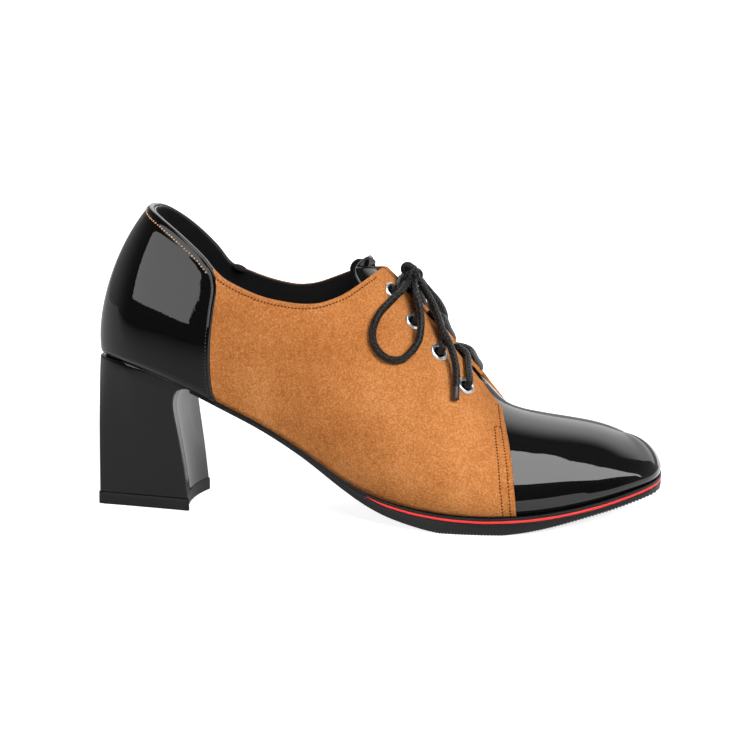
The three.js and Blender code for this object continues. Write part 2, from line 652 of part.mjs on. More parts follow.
// rows from..to of the sections; where from is over 0 the plate has a straight back edge there.
function plate({ from = 0, welt = 1, more = 0, top, bottom }) {
  const edge = [from, ...columnRows.filter((row) => row > from + 0.05)];
  const gridAt = (heightAt) =>
    edge.map((row) => {
      const [outer, inner] = [LATERAL, MEDIAL].map((side) => outlinePoint(side, row, welt, more));
      return steps(2).map((share) => {
        const point = outer.clone().lerp(inner, share);
        point.z = heightAt(point.x);
        return point;
      });
    });
  return slab(gridAt(top), gridAt(bottom));
}

// Below the midsole: how thick the sole is, a share of its thickness under the ball
const WAIST = [
  { station: 0.18, depth: 0.2 },
  { station: 0.26, depth: 0.21 },
  { station: 0.34, depth: 0.26 },
  { station: 0.41, depth: 0.38 },
  { station: 0.478, depth: 0.61 },
  { station: 0.528, depth: 0.84 },
  { station: 0.583, depth: 1.0 },
  { station: 0.64, depth: 1.14 },
  { station: 0.73, depth: 1.04 },
  { station: 0.765, depth: 0.97 },
  { station: 0.83, depth: 0.78 },
  { station: 0.89, depth: 0.64 },
  { station: 0.96, depth: 0.64 },
  { station: 1.0, depth: 0.7 },
];
const waistAt = follow(WAIST, "station", "depth");
const UNDER_MIDSOLE = OUTSOLE_THICKNESS + STRIPE_THICKNESS + 2 * GAP;
const STRIPE_START = 0.5001; // station where the stripe begins
const STRIPE_TAPER = 0.03; // stations over which it comes to its full thickness

const stripeTopZ = (x) => midsoleBottomZ(x) - GAP;
const stripeGrown = (x) => clamp((xToStation(x) - STRIPE_START) / STRIPE_TAPER, 0, 1);
const stripeBottomZ = (x) => stripeTopZ(x) - STRIPE_THICKNESS * (0.25 + 0.75 * stripeGrown(x));
const outsoleTopZ = (x) =>
  xToStation(x) < STRIPE_START - 1e-3 ? stripeTopZ(x) : stripeBottomZ(x) - GAP;
const outsoleBottomZ = (x) => Math.max(0, midsoleBottomZ(x) - UNDER_MIDSOLE * waistAt(xToStation(x)));

const outsoleStartRow = bisect(0, MOST_ROW, (r) => rowStation(r) - xToStation(HEEL_BREAST_REACH + 2 * GAP));
const stripeStartRow = bisect(0, MOST_ROW, (r) => rowStation(r) - STRIPE_START);

// Heel: level outlines from the tip up to the seat, a D with a hollowed front

const HEEL_PLAN_STEPS = 14; // along each side
const HEEL_FRONT_POINTS = 6;

// Half widths from the breast (along 0) to the back (along 1) of the tip and of the heel's top edge
const HEEL_PLAN = [
  { along: 0, tip: 1, seat: 1 },
  { along: 0.25, tip: 0.905, seat: 0.985 },
  { along: 0.5, tip: 0.815, seat: 0.92 },
  { along: 0.7, tip: 0.74, seat: 0.77 },
  { along: 0.86, tip: 0.69, seat: 0.6 },
  { along: 0.95, tip: 0.655, seat: 0.44 },
  { along: 0.99, tip: 0.57, seat: 0.31 },
  { along: 1, tip: 0, seat: 0 },
];

// rise: share of the heel's height. breast: share of the way from the tip's front edge to the
// reach of the top edge, and below 0 behind the tip's front. back: shift forward of the back, a
// share of TIP_LENGTH. seat: share of the way from the tip's plan and width to those of the top.
const HEEL_LEVELS = [
  { rise: 0, breast: 0, back: 0, seat: 0 },
  { rise: 0.3, breast: -0.95, back: 0.003, seat: 0.12 },
  { rise: 0.55, breast: -2, back: 0.006, seat: 0.33 },
  { rise: 0.76, breast: -2.9, back: 0.009, seat: 0.6 },
  { rise: 0.85, breast: -2.8, back: 0.01, seat: 0.74 },
  { rise: 0.92, breast: -2.1, back: 0.011, seat: 0.86 },
  { rise: 0.965, breast: -0.8, back: 0.012, seat: 0.93 },
  { rise: 1, breast: 1, back: 0.013, seat: 1 },
];

const [planAlong, planTip, planSeat] = ["along", "tip", "seat"].map((column) => {
  const [beforeBack] = HEEL_PLAN.slice(-2);
  const sign = column === "along" ? 1 : -1;
  return throughRows(HEEL_PLAN, column, HEEL_PLAN[0][column], sign * beforeBack[column]);
});

// Outline of one level, from the outer front corner round the back to the inner one and along the breast
function heelOutline(backX, frontX, width, hollow, seat) {
  const half = width / 2;
  const side = steps(HEEL_PLAN_STEPS).map((share) => {
    const row = share * (HEEL_PLAN.length - 1);
    return [frontX + planAlong(row) * (backX - frontX), half * (planTip(row) + seat * (planSeat(row) - planTip(row)))];
  });
  const outerHalf = side.map(([x, y]) => [x, -y]);
  const innerHalf = side.slice(0, -1).reverse();
  const front = steps(HEEL_FRONT_POINTS).slice(1, -1).map((share) => {
    const y = half * (1 - 2 * share);
    return [frontX - hollow * (1 - (2 * share - 1) ** 2), y];
  });
  return [...outerHalf, ...innerHalf, ...front];
}

// Solid between outlines stacked on each other, closed at both ends
function loft(levels) {
  const triangles = [];
  const count = levels[0].length;
  for (let k = 0; k + 1 < levels.length; k += 1) {
    for (let i = 0; i < count; i += 1) {
      const n = (i + 1) % count;
      triangles.push(levels[k][i], levels[k][n], levels[k + 1][n], levels[k][i], levels[k + 1][n], levels[k + 1][i]);
    }
  }
  const cap = (level, flip) => {
    const contour = level.map((p) => new THREE.Vector2(p.x, p.y));
    for (const [a, b, c] of THREE.ShapeUtils.triangulateShape(contour, [])) {
      triangles.push(...(flip ? [level[a], level[c], level[b]] : [level[a], level[b], level[c]]));
    }
  };
  const turn = THREE.ShapeUtils.isClockWise(levels[0].map((p) => new THREE.Vector2(p.x, p.y)));
  cap(levels[0], !turn);
  cap(levels[levels.length - 1], turn);
  if (signedVolume(triangles) < 0) triangles.reverse();
  return geometryOf(triangles);
}

const breastReach = TIP_LENGTH / 2 - TIP_OVERHANG;

function heelGeometry() {
  const bottomZ = TIP_THICKNESS + GAP;
  const levels = HEEL_LEVELS.map(({ rise, breast, back, seat }) => {
    const backX = -TIP_LENGTH / 2 + TIP_OVERHANG + back * TIP_LENGTH;
    const frontX = breastReach + breast * (HEEL_BREAST_REACH - breastReach);
    const across = TIP_WIDTH - 2 * TIP_OVERHANG + seat * (HEEL_TOP_WIDTH - TIP_WIDTH + 2 * TIP_OVERHANG);
    const hollow = BREAST_HOLLOW * (1 - rise ** 6);
    return heelOutline(backX, frontX, across, hollow, seat).map(([x, y]) => {
      const seatZ = midsoleBottomZ(x) - GAP;
      return new THREE.Vector3(x, y, bottomZ + rise * (seatZ - bottomZ));
    });
  });
  return loft(levels);
}

function tipGeometry() {
  const outline = heelOutline(-TIP_LENGTH / 2, TIP_LENGTH / 2, TIP_WIDTH, BREAST_HOLLOW, 0);
  return loft([0, TIP_THICKNESS].map((z) => outline.map(([x, y]) => new THREE.Vector3(x, y, z))));
}

// Eyelets and the holes that they sit in

const EYELET_SIDES = 8;
const BARREL_RADIUS = EYELET_HOLE_RADIUS + EYELET_WALL;
const QUARTER_TOP = GAP + QUARTER_THICKNESS;

// Place of an eyelet: its middle on the last's surface, and the way that it faces
function eyeletPlace(side, { station, inset }) {
  const row = rowAtStation(side, station);
  const edge = lastPoint(side, row, facingUp(side, row, 0));
  const x = rib(side, row).top.x;
  const slant = Math.hypot(1, (crestZ(x + 1) - crestZ(x - 1)) / 2);
  const down = BALL_WIDTH * (inset + (side === MEDIAL ? MEDIAL_EYELET_SHIFT : 0)) * slant;
  const up = bisect(0.3, 1, (value) => down - lastPoint(side, row, value).distanceTo(edge));
  return { row, up, middle: lastPoint(side, row, up), facing: lastNormal(side, row, up) };
}

function turned(geometry, { middle, facing }) {
  const turn = new THREE.Quaternion().setFromUnitVectors(new THREE.Vector3(0, 1, 0), facing);
  return geometry.applyQuaternion(turn).translate(middle.x, middle.y, middle.z);
}

function eyeletGeometry(place) {
  const under = QUARTER_TOP + GAP / 2;
  const over = under + EYELET_FLANGE_HEIGHT;
  const profile = [
    [EYELET_HOLE_RADIUS, -WALL - GAP],
    [BARREL_RADIUS, -WALL - GAP],
    [BARREL_RADIUS, under],
    [EYELET_FLANGE_RADIUS, under],
    [(EYELET_HOLE_RADIUS + EYELET_FLANGE_RADIUS) / 2, over],
    [EYELET_HOLE_RADIUS, under],
    [EYELET_HOLE_RADIUS, -WALL - GAP],
  ].map(([radius, height]) => new THREE.Vector2(radius, height));
  return turned(new THREE.LatheGeometry(profile, EYELET_SIDES), place);
}

const drillGeometry = (place) =>
  turned(new THREE.CylinderGeometry(BARREL_RADIUS + GAP, BARREL_RADIUS + GAP, 6 * WALL, EYELET_SIDES), place);

const sideName = { [LATERAL]: "outer", [MEDIAL]: "inner" };
const eyelets = [LATERAL, MEDIAL].flatMap((side) =>
  EYELETS.map((eyelet, i) => ({ side, name: `${sideName[side]}_${i + 1}`, ...eyeletPlace(side, eyelet) })),
);

function drilled(geometry, places) {
  return fromManifold(places.reduce((solid, place) => solid.subtract(toManifold(drillGeometry(place))), toManifold(geometry)));
}

// Lace: the strands that come up through the eyelets and meet in the gap, and the bow

const LACE_RADIUS = LACE_DIAMETER / 2;
const LACE_SIDES = 8;
const ON_SUEDE = QUARTER_TOP + LACE_RADIUS; // height of a strand's middle where it lies on a quarter

function tube(points, count) {
  const outline = new THREE.Shape(
    steps(LACE_SIDES).slice(0, -1).map((turn) => {
      const angle = 2 * Math.PI * turn;
      return new THREE.Vector2(LACE_RADIUS * Math.cos(angle), LACE_RADIUS * Math.sin(angle));
    }),
  );
  const path = new THREE.CatmullRomCurve3(points, false, "centripetal");
  return new THREE.ExtrudeGeometry(outline, { steps: count, bevelEnabled: false, extrudePath: path });
}

// Both strands of one pair of eyelets, joined where they meet: out of one hole, over the facing's
// edge, down into the gap, and back over the other edge into the other hole
function laceBar({ station, inset, meet }) {
  const halves = [LATERAL, MEDIAL].map((side) => {
    const { middle, facing } = eyeletPlace(side, { station, inset });
    const edgeRow = rowAtStation(side, station + BAR_EDGE_AT * (meet - station));
    const edgeUp = facingUp(side, edgeRow, 0);
    const edge = lastPoint(side, edgeRow, edgeUp);
    const edgeFacing = lastNormal(side, edgeRow, edgeUp);
    const above = facing.clone().add(edgeFacing).normalize();
    return [
      middle.clone().addScaledVector(facing, BAR_DEPTH),
      middle.clone().addScaledVector(facing, BAR_RISE),
      middle.clone().lerp(edge, 0.45).addScaledVector(above, ON_SUEDE + BAR_ARCH),
      edge.clone().addScaledVector(edgeFacing, ON_SUEDE + 2 * GAP),
    ];
  });
  const meetRow = rowAtStation(LATERAL, meet);
  const [near, far] = [LATERAL, MEDIAL].map((side) => lastPoint(side, meetRow, facingUp(side, meetRow, 0)));
  const middle = near.lerp(far, 0.5).addScaledVector(lastNormal(LATERAL, meetRow, 1), BAR_DIP);
  return tube([...halves[0], middle, ...halves[1].reverse()], BAR_STEPS);
}

const BAR_DEPTH = -1; // where a strand starts, inside its eyelet
const BAR_RISE = 4;
const BAR_ARCH = 1.2; // how far it arches off the suede
const BAR_EDGE_AT = 0.55; // where it passes the facing's edge, of the way along the shoe to the meeting
const BAR_DIP = 1.6; // height of the meeting over the last
const BAR_STEPS = 17;

// Routes of the bow on each side, from the knot. station: a rib. up: from 0 at the rib's foot to
// 1 on the crest. clear: the lace's underside over the suede, in millimetres.
const LOOP_OUTER = [
  { station: 0.5331, up: 0.83, clear: 3.2 },
  { station: 0.5264, up: 0.755, clear: 2.7 },
  { station: 0.5193, up: 0.69, clear: 1.9 },
  { station: 0.5077, up: 0.607, clear: 1.1 },
  { station: 0.501, up: 0.541, clear: 0.8 },
  { station: 0.5008, up: 0.494, clear: 0.6 },
  { station: 0.5084, up: 0.467, clear: 0.5 },
  { station: 0.5211, up: 0.461, clear: 0.6 },
  { station: 0.5363, up: 0.476, clear: 0.6 },
  { station: 0.552, up: 0.51, clear: 0.8 },
  { station: 0.564, up: 0.564, clear: 1.6 },
  { station: 0.5707, up: 0.623, clear: 2.8 },
  { station: 0.5695, up: 0.676, clear: 3.9 },
  { station: 0.565, up: 0.725, clear: 4.8 },
  { station: 0.5567, up: 0.774, clear: 5.4 },
  { station: 0.5483, up: 0.821, clear: 5.3 },
  { station: 0.5438, up: 0.866, clear: 4.9 },
];
const LOOP_INNER = [
  { station: 0.5335, up: 0.905, clear: 4.3 },
  { station: 0.528, up: 0.84, clear: 4.6 },
  { station: 0.521, up: 0.765, clear: 4.8 },
  { station: 0.5095, up: 0.67, clear: 3.2 },
  { station: 0.502, up: 0.59, clear: 1.2 },
  { station: 0.501, up: 0.53, clear: 0.6 },
  { station: 0.508, up: 0.495, clear: 0.5 },
  { station: 0.521, up: 0.485, clear: 0.5 },
  { station: 0.536, up: 0.495, clear: 0.5 },
  { station: 0.551, up: 0.525, clear: 0.6 },
  { station: 0.5615, up: 0.575, clear: 1.6 },
  { station: 0.5655, up: 0.635, clear: 3.2 },
  { station: 0.5645, up: 0.7, clear: 4.6 },
  { station: 0.56, up: 0.765, clear: 4.9 },
  { station: 0.5525, up: 0.83, clear: 4.9 },
  { station: 0.5455, up: 0.885, clear: 4.7 },
];
const END_OUTER = [
  { station: 0.5465, up: 0.946, clear: 5.6 },
  { station: 0.5583, up: 0.931, clear: 4.9 },
  { station: 0.5731, up: 0.895, clear: 4.6 },
  { station: 0.5863, up: 0.851, clear: 4.0 },
  { station: 0.5978, up: 0.801, clear: 3.7 },
  { station: 0.6082, up: 0.759, clear: 4.4 },
  { station: 0.6187, up: 0.719, clear: 4.4 },
  { station: 0.629, up: 0.678, clear: 3.6 },
  { station: 0.6362, up: 0.628, clear: 2.6 },
  { station: 0.64, up: 0.575, clear: 1.8 },
  { station: 0.6424, up: 0.537, clear: 1.2 },
];
const END_INNER = [
  { station: 0.5499, up: 0.965, clear: 4.2 },
  { station: 0.5657, up: 0.926, clear: 3.9 },
  { station: 0.579, up: 0.87, clear: 3.9 },
  { station: 0.589, up: 0.79, clear: 3.6 },
  { station: 0.594, up: 0.705, clear: 2.6 },
  { station: 0.598, up: 0.63, clear: 1.6 },
  { station: 0.601, up: 0.57, clear: 0.9 },
  { station: 0.603, up: 0.52, clear: 0.5 },
];

const lacePoint = (side, { station, up, clear }) =>
  offsetPoint(side, rowAtStation(side, station), up, ON_SUEDE + clear);
const routeGeometry = (side, rows, count) => tube(rows.map((row) => lacePoint(side, row)), count);

// Knot: a tight bundle on top of the crest, its middle over the uppermost pair of eyelets
const KNOT = { station: 0.5318, up: 0.965, clear: 5.1 };
const KNOT_HALF = { along: 4.1, across: 4.3, high: 3.2 };

function knotGeometry() {
  const row = rowAtStation(LATERAL, KNOT.station);
  const geometry = mergeVertices(new THREE.IcosahedronGeometry(1, 2).deleteAttribute("normal").deleteAttribute("uv"));
  geometry.scale(KNOT_HALF.along, KNOT_HALF.high, KNOT_HALF.across);
  return turned(geometry, { middle: lacePoint(LATERAL, KNOT), facing: lastNormal(LATERAL, row, 1) });
}

// Assembly

addNode("upper", drilled(upperGeometry(), eyelets), patent);
for (const side of [LATERAL, MEDIAL]) {
  const places = eyelets.filter((eyelet) => eyelet.side === side);
  addNode(`quarter_${sideName[side]}`, drilled(quarterGeometry(side), places), suede);
}
addNode("counter", counterGeometry(), patent);
addNode("tongue", tongueGeometry(), patent);
for (const eyelet of eyelets) addNode(`eyelet_${eyelet.name}`, eyeletGeometry(eyelet), nickel);

EYELETS.forEach((eyelet, i) => addNode(`lace_bar_${i + 1}`, laceBar(eyelet), cord));
addNode("lace_knot", knotGeometry(), cord);
addNode("lace_loop_outer", routeGeometry(LATERAL, LOOP_OUTER, 24), cord);
addNode("lace_loop_inner", routeGeometry(MEDIAL, LOOP_INNER, 22), cord);
addNode("lace_end_outer", routeGeometry(LATERAL, END_OUTER, 12), cord);
addNode("lace_end_inner", routeGeometry(MEDIAL, END_INNER, 12), cord);

const insoleInset = -(WALL + 2 * GAP);
addNode("insole", plate({ welt: 0, more: insoleInset, top: (x) => featherZ(x) + INSOLE_THICKNESS, bottom: featherZ }), lining);
addNode("midsole", plate({ top: midsoleTopZ, bottom: midsoleBottomZ }), rubber);
addNode("stripe", plate({ from: stripeStartRow, more: 0.1, top: stripeTopZ, bottom: stripeBottomZ }), stripeRed);
addNode("outsole", plate({ from: outsoleStartRow, top: outsoleTopZ, bottom: outsoleBottomZ }), rubber);
addNode("heel", heelGeometry(), patent);
addNode("heel_tip", tipGeometry(), rubber);

export default shoe;
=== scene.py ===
"""Looks of the lace-up block heel pump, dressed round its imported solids.

Metres in Blender, millimetres in the tables and sizes below. +X points to the toe, -Y to the
outer side of the foot, +Z up. The skins follow the same last as the solids, on finer grids and
with rolled edges, seam channels and stitches.
"""

import logging
import math
from collections.abc import Callable
from dataclasses import dataclass
from enum import Enum

import bmesh
import bpy
import numpy as np
from mathutils import Matrix, Vector
from mathutils.bvhtree import BVHTree

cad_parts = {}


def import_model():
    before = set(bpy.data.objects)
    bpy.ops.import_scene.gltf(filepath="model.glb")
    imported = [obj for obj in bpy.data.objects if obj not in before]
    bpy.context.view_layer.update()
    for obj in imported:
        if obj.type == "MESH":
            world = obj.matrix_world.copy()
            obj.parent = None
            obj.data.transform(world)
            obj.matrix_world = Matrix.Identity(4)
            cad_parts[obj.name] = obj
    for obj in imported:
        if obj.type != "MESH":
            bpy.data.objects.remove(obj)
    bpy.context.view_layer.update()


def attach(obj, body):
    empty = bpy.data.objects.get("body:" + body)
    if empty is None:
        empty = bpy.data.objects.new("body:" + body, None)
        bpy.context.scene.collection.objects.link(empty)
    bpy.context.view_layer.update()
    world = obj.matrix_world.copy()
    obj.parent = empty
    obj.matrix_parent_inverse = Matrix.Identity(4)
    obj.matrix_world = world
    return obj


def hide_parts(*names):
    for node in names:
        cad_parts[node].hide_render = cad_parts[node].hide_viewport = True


LOG = logging.getLogger("pump")
MM = 0.001
Array = np.ndarray
Line = Callable[[Array], Array]
Object = bpy.types.Object
Material = bpy.types.Material
Tree = bpy.types.NodeTree
Socket = bpy.types.NodeSocket
Spot = tuple[float, float, float]


def table(*rows: tuple[float, ...]) -> Array:
    """Rows of numbers as one array."""
    return np.array(rows, float)


# station, lateral, medial, crest, crestShift, fullness, bulge, welt
SECTIONS = table(
    (0.0, 0.0, 0.0, 0.222, 0.0, 1.82, 0.012, 0.004),
    (0.0153, 0.135, 0.135, 0.224, 0.0, 1.9, 0.014, 0.004),
    (0.0655, 0.254, 0.254, 0.23, 0.0, 2.15, 0.022, 0.004),
    (0.1458, 0.311, 0.307, 0.251, 0.004, 2.5, 0.033, 0.006),
    (0.2552, 0.306, 0.278, 0.302, 0.012, 2.6, 0.04, 0.011),
    (0.3566, 0.315, 0.256, 0.37, 0.022, 2.45, 0.043, 0.017),
    (0.458, 0.362, 0.315, 0.458, 0.035, 2.15, 0.047, 0.025),
    (0.5513, 0.43, 0.401, 0.5513, 0.04, 1.95, 0.045, 0.03),
    (0.6437, 0.475, 0.475, 0.6437, 0.042, 1.88, 0.04, 0.032),
    (0.736, 0.468, 0.525, 0.736, 0.045, 1.95, 0.034, 0.032),
    (0.8294, 0.401, 0.512, 0.8253, 0.056, 2.1, 0.028, 0.03),
    (0.9137, 0.296, 0.444, 0.8906, 0.072, 2.12, 0.022, 0.025),
    (0.9659, 0.179, 0.346, 0.9197, 0.08, 2.05, 0.017, 0.017),
    (0.993, 0.062, 0.235, 0.9327, 0.085, 2.0, 0.013, 0.011),
    (1.0, -0.086, 0.086, 0.9348, 0.086, 2.0, 0.011, 0.008),
)
# station, pitch, spring
FEATHER = table(
    (0.0, 1.008, 0), (0.0464, 0.998, 0), (0.1066, 0.934, 0), (0.1749, 0.822, 0),
    (0.2321, 0.708, 0), (0.3024, 0.568, 0), (0.3756, 0.4, 0), (0.4499, 0.212, 0),
    (0.4981, 0.118, 0), (0.5613, 0.05, 0), (0.6286, 0.014, 0), (0.6989, 0, 0), (0.7621, 0, 0.04),
    (0.8213, 0, 0.16), (0.8886, 0, 0.42), (0.9548, 0, 0.77), (1.0, 0, 1.0), (1.02, 0, 1.1),
)
# station, height
CREST = table(
    (0.222, 1.385), (0.302, 1.365), (0.37, 1.27), (0.416, 1.18), (0.458, 1.087), (0.51, 0.979),
    (0.542, 0.904), (0.574, 0.828), (0.6085, 0.741), (0.645, 0.642), (0.682, 0.548),
    (0.703, 0.493), (0.724, 0.447), (0.753, 0.421), (0.787, 0.406), (0.825, 0.393),
    (0.8585, 0.382), (0.8946, 0.365), (0.935, 0.334),
)
# station, height
TOPLINE_LATERAL = table(
    (0.0865, 1.003), (0.1247, 0.966), (0.1679, 0.912), (0.205, 0.853), (0.2221, 0.816),
    (0.2401, 0.786), (0.2733, 0.755), (0.3124, 0.728), (0.3616, 0.711), (0.3867, 0.708),
    (0.4098, 0.711), (0.4449, 0.733), (0.476, 0.768), (0.4971, 0.795), (0.5101, 0.806),
)
# station, height
TOPLINE_MEDIAL = table(
    (0.0865, 1.003), (0.1227, 0.95), (0.1548, 0.895), (0.1849, 0.836), (0.208, 0.782),
    (0.2421, 0.757), (0.2793, 0.734), (0.3174, 0.72), (0.3425, 0.717), (0.3736, 0.726),
    (0.4138, 0.754), (0.4469, 0.778), (0.4981, 0.793),
)
# rise, station
COUNTER_EDGE = table(
    (0, 0.227), (0.06, 0.221), (0.2, 0.218), (0.45, 0.2195), (0.7, 0.225), (0.86, 0.2296),
    (0.95, 0.2276), (1, 0.2221),
)
# station, lateral, medial
THROAT = table(
    (0.488, 0.045, 0.05), (0.51, 0.037, 0.042), (0.551, 0.042, 0.028), (0.5935, 0.05, 0.014),
    (0.6437, 0.066, 0.018), (0.682, 0.085, 0.035), (0.699, 0.1, 0.05), (0.72, 0.12, 0.07),
)
# station, height
VAMP_SEAM = table(
    (0.694, 0.553), (0.7013, 0.508), (0.7108, 0.474), (0.7238, 0.428), (0.736, 0.376), (0.748, 0.305),
    (0.7555, 0.23), (0.7606, 0.15),
)
# station, inset, meet
EYELETS = table(
    (0.525, 0.076, 0.531), (0.5645, 0.106, 0.541), (0.61, 0.112, 0.5845), (0.659, 0.12, 0.633),
)
# station, half, lift
TONGUE = table(
    (0.479, 0.03, 1), (0.4805, 0.09, 1), (0.485, 0.13, 0.95), (0.493, 0.165, 0.8),
    (0.503, 0.185, 0.5), (0.515, 0.2, 0.12), (0.535, 0.205, 0), (0.58, 0.215, 0), (0.64, 0.22, 0),
    (0.709, 0.2, 0),
)
# station, depth
WAIST = table(
    (0.18, 0.2), (0.26, 0.21), (0.34, 0.26), (0.41, 0.38), (0.478, 0.61), (0.528, 0.84),
    (0.583, 1.0), (0.64, 1.14), (0.73, 1.04), (0.765, 0.97), (0.83, 0.78), (0.89, 0.64),
    (0.96, 0.64), (1.0, 0.7),
)
# along, tip, seat
HEEL_PLAN = table(
    (0, 1, 1), (0.25, 0.905, 0.985), (0.5, 0.815, 0.92), (0.7, 0.74, 0.77), (0.86, 0.69, 0.6),
    (0.95, 0.655, 0.44), (0.99, 0.57, 0.31), (1, 0, 0),
)
# rise, breast, back, seat
HEEL_LEVELS = table(
    (0, 0, 0, 0), (0.3, -0.95, 0.003, 0.12), (0.55, -2, 0.006, 0.33), (0.76, -2.9, 0.009, 0.6),
    (0.85, -2.8, 0.01, 0.74), (0.92, -2.1, 0.011, 0.86), (0.965, -0.8, 0.012, 0.93),
    (1, 1, 0.013, 1),
)
# station, up, clear
LOOP_OUTER = table(
    (0.5331, 0.83, 3.2), (0.5264, 0.755, 2.7), (0.5193, 0.69, 1.9), (0.5077, 0.607, 1.1),
    (0.501, 0.541, 0.8), (0.5008, 0.494, 0.6), (0.5084, 0.467, 0.5), (0.5211, 0.461, 0.6),
    (0.5363, 0.476, 0.6), (0.552, 0.51, 0.8), (0.564, 0.564, 1.6), (0.5707, 0.623, 2.8),
    (0.5695, 0.676, 3.9), (0.565, 0.725, 4.8), (0.5567, 0.774, 5.4), (0.5483, 0.821, 5.3),
    (0.5438, 0.866, 4.9),
)
# station, up, clear
LOOP_INNER = table(
    (0.5335, 0.905, 4.3), (0.528, 0.84, 4.6), (0.521, 0.765, 4.8), (0.5095, 0.67, 3.2),
    (0.502, 0.59, 1.2), (0.501, 0.53, 0.6), (0.508, 0.495, 0.5), (0.521, 0.485, 0.5),
    (0.536, 0.495, 0.5), (0.551, 0.525, 0.6), (0.5615, 0.575, 1.6), (0.5655, 0.635, 3.2),
    (0.5645, 0.7, 4.6), (0.56, 0.765, 4.9), (0.5525, 0.83, 4.9), (0.5455, 0.885, 4.7),
)
# station, up, clear
END_OUTER = table(
    (0.5465, 0.946, 5.6), (0.5583, 0.931, 4.9), (0.5731, 0.895, 4.6), (0.5863, 0.851, 4.0),
    (0.5978, 0.801, 3.7), (0.6082, 0.759, 4.4), (0.6187, 0.719, 4.4), (0.629, 0.678, 3.6),
    (0.6362, 0.628, 2.6), (0.64, 0.575, 1.8), (0.6424, 0.537, 1.2),
)
# station, up, clear
END_INNER = table(
    (0.5499, 0.965, 4.2), (0.5657, 0.926, 3.9), (0.579, 0.87, 3.9), (0.589, 0.79, 3.6),
    (0.594, 0.705, 2.6), (0.598, 0.63, 1.6), (0.601, 0.57, 0.9), (0.603, 0.52, 0.5),
)

HEEL_SETBACK = 18.6  # back of the feather line to the middle of the heel tip
LAST_LENGTH = 237.1
BALL_WIDTH = 81.0
HEEL_HEIGHT = 65.5
TOE_SPRING = 10.4
INSTEP_HEIGHT = 103.8
BACK_HEIGHT = 129.0
WALL = 1.6
QUARTER_THICKNESS = 1.2
COUNTER_THICKNESS = 1.8
TONGUE_THICKNESS = 1.4
TONGUE_RISE = 3.2
TONGUE_EASE = 4.0
TONGUE_CLEARANCE = 1.0
INSOLE_THICKNESS = 2.4
MIDSOLE_THICKNESS = 1.1
STRIPE_THICKNESS = 0.9
OUTSOLE_THICKNESS = 4.5
TIP_THICKNESS = 5.2
GAP = 0.3
SEAT_GAP = 0.4
TIP_LENGTH = 42.4
TIP_WIDTH = 41.0
HEEL_TOP_WIDTH = 50.0
HEEL_BREAST_REACH = 22.6
BREAST_HOLLOW = 3.4
TIP_OVERHANG = 0.4
EYELET_HOLE_RADIUS = 2.4
EYELET_FLANGE_RADIUS = 3.9
MEDIAL_EYELET_SHIFT = 0.035
LACE_DIAMETER = 3.0
FACING_BOTTOM = 0.6735
VAMP_SEAM_END = 0.7631
SEAM_MEDIAL_SETBACK = 3.5
COUNTER_MEDIAL_SETBACK = -0.7
THROAT_RECESS = 0.8
THROAT_FRONT = 0.12
STRIPE_START = 0.5001
STRIPE_TAPER = 0.03
MOST_ROW = 14
BULGE_AT = 0.17
HOLE_SLACK = 0.65  # between an eyelet's barrel and the hole in the layers
SUEDE_LOW = 0.08  # where a quarter starts over the upper
COUNTER_LOW = 0.1  # where the counter starts over the upper
THINNEST = 0.05  # least thickness of a layer under a seam's channel
GLUE_LINE = 0.03  # between two layers of the sole
STITCH_LIFT = 0.04  # how far a stitch's middle stands over its piece
QUARTER_TOP = GAP + QUARTER_THICKNESS
ON_SUEDE = QUARTER_TOP + LACE_DIAMETER / 2


class Side(Enum):
    """The two sides of the foot; the value is the sign of Y."""

    OUTER = -1
    INNER = 1


def follow(rows: Array, column: int) -> Line:
    """Smooth function through a table's rows.

    Args:
        rows: table whose first column is the key, rising.
        column: number of the column that is followed.

    Returns:
        A function of the key that holds its end values.
    """
    x, y = rows[:, 0], rows[:, column]
    count = len(x)
    before = np.maximum(np.arange(count) - 1, 0)
    after = np.minimum(np.arange(count) + 1, count - 1)
    slope = (y[after] - y[before]) / (x[after] - x[before])

    def value(at: Array) -> Array:
        """Value at a key or an array of keys."""
        at = np.clip(at, x[0], x[-1])
        k = np.clip(np.searchsorted(x, at, side="right") - 1, 0, count - 2)
        span = x[k + 1] - x[k]
        t = (at - x[k]) / span
        rise, fall = slope[k] * span, slope[k + 1] * span
        step = y[k + 1] - y[k]
        return y[k] + t * (rise + t * (3 * step - 2 * rise - fall + t * (rise + fall - 2 * step)))

    return value


def through(values: Array, before: float, after: float) -> Line:
    """Smooth curve through values by row number.

    Args:
        values: one value for each row.
        before: value one row before the first.
        after: value one row after the last.

    Returns:
        A function of the row number.
    """
    v = np.concatenate([[before], values, [after]])

    def value(row: Array) -> Array:
        """Value at a row number or an array of them."""
        i = np.clip(np.floor(row).astype(int), 0, len(values) - 2)
        t = row - i
        p0, p1, p2, p3 = v[i], v[i + 1], v[i + 2], v[i + 3]
        cubic = 2 * p0 - 5 * p1 + 4 * p2 - p3 + t * (3 * (p1 - p2) + p3 - p0)
        return p1 + 0.5 * t * (p2 - p0 + t * cubic)

    return value


def bisect(low: Array, high: Array, test: Line) -> Array:
    """Halves ranges until the sign of test is pinned down; test is below 0 at low.

    Args:
        low: lower ends.
        high: upper ends.
        test: function of an array of values.

    Returns:
        The values where test changes sign.
    """
    low, high = np.array(low, float), np.array(high, float)
    for _ in range(34):
        middle = (low + high) / 2
        under = test(middle) < 0
        low = np.where(under, middle, low)
        high = np.where(under, high, middle)
    return (low + high) / 2


def unit(v: Array) -> Array:
    """Vectors scaled to length 1."""
    return v / np.maximum(np.linalg.norm(v, axis=-1, keepdims=True), 1e-12)


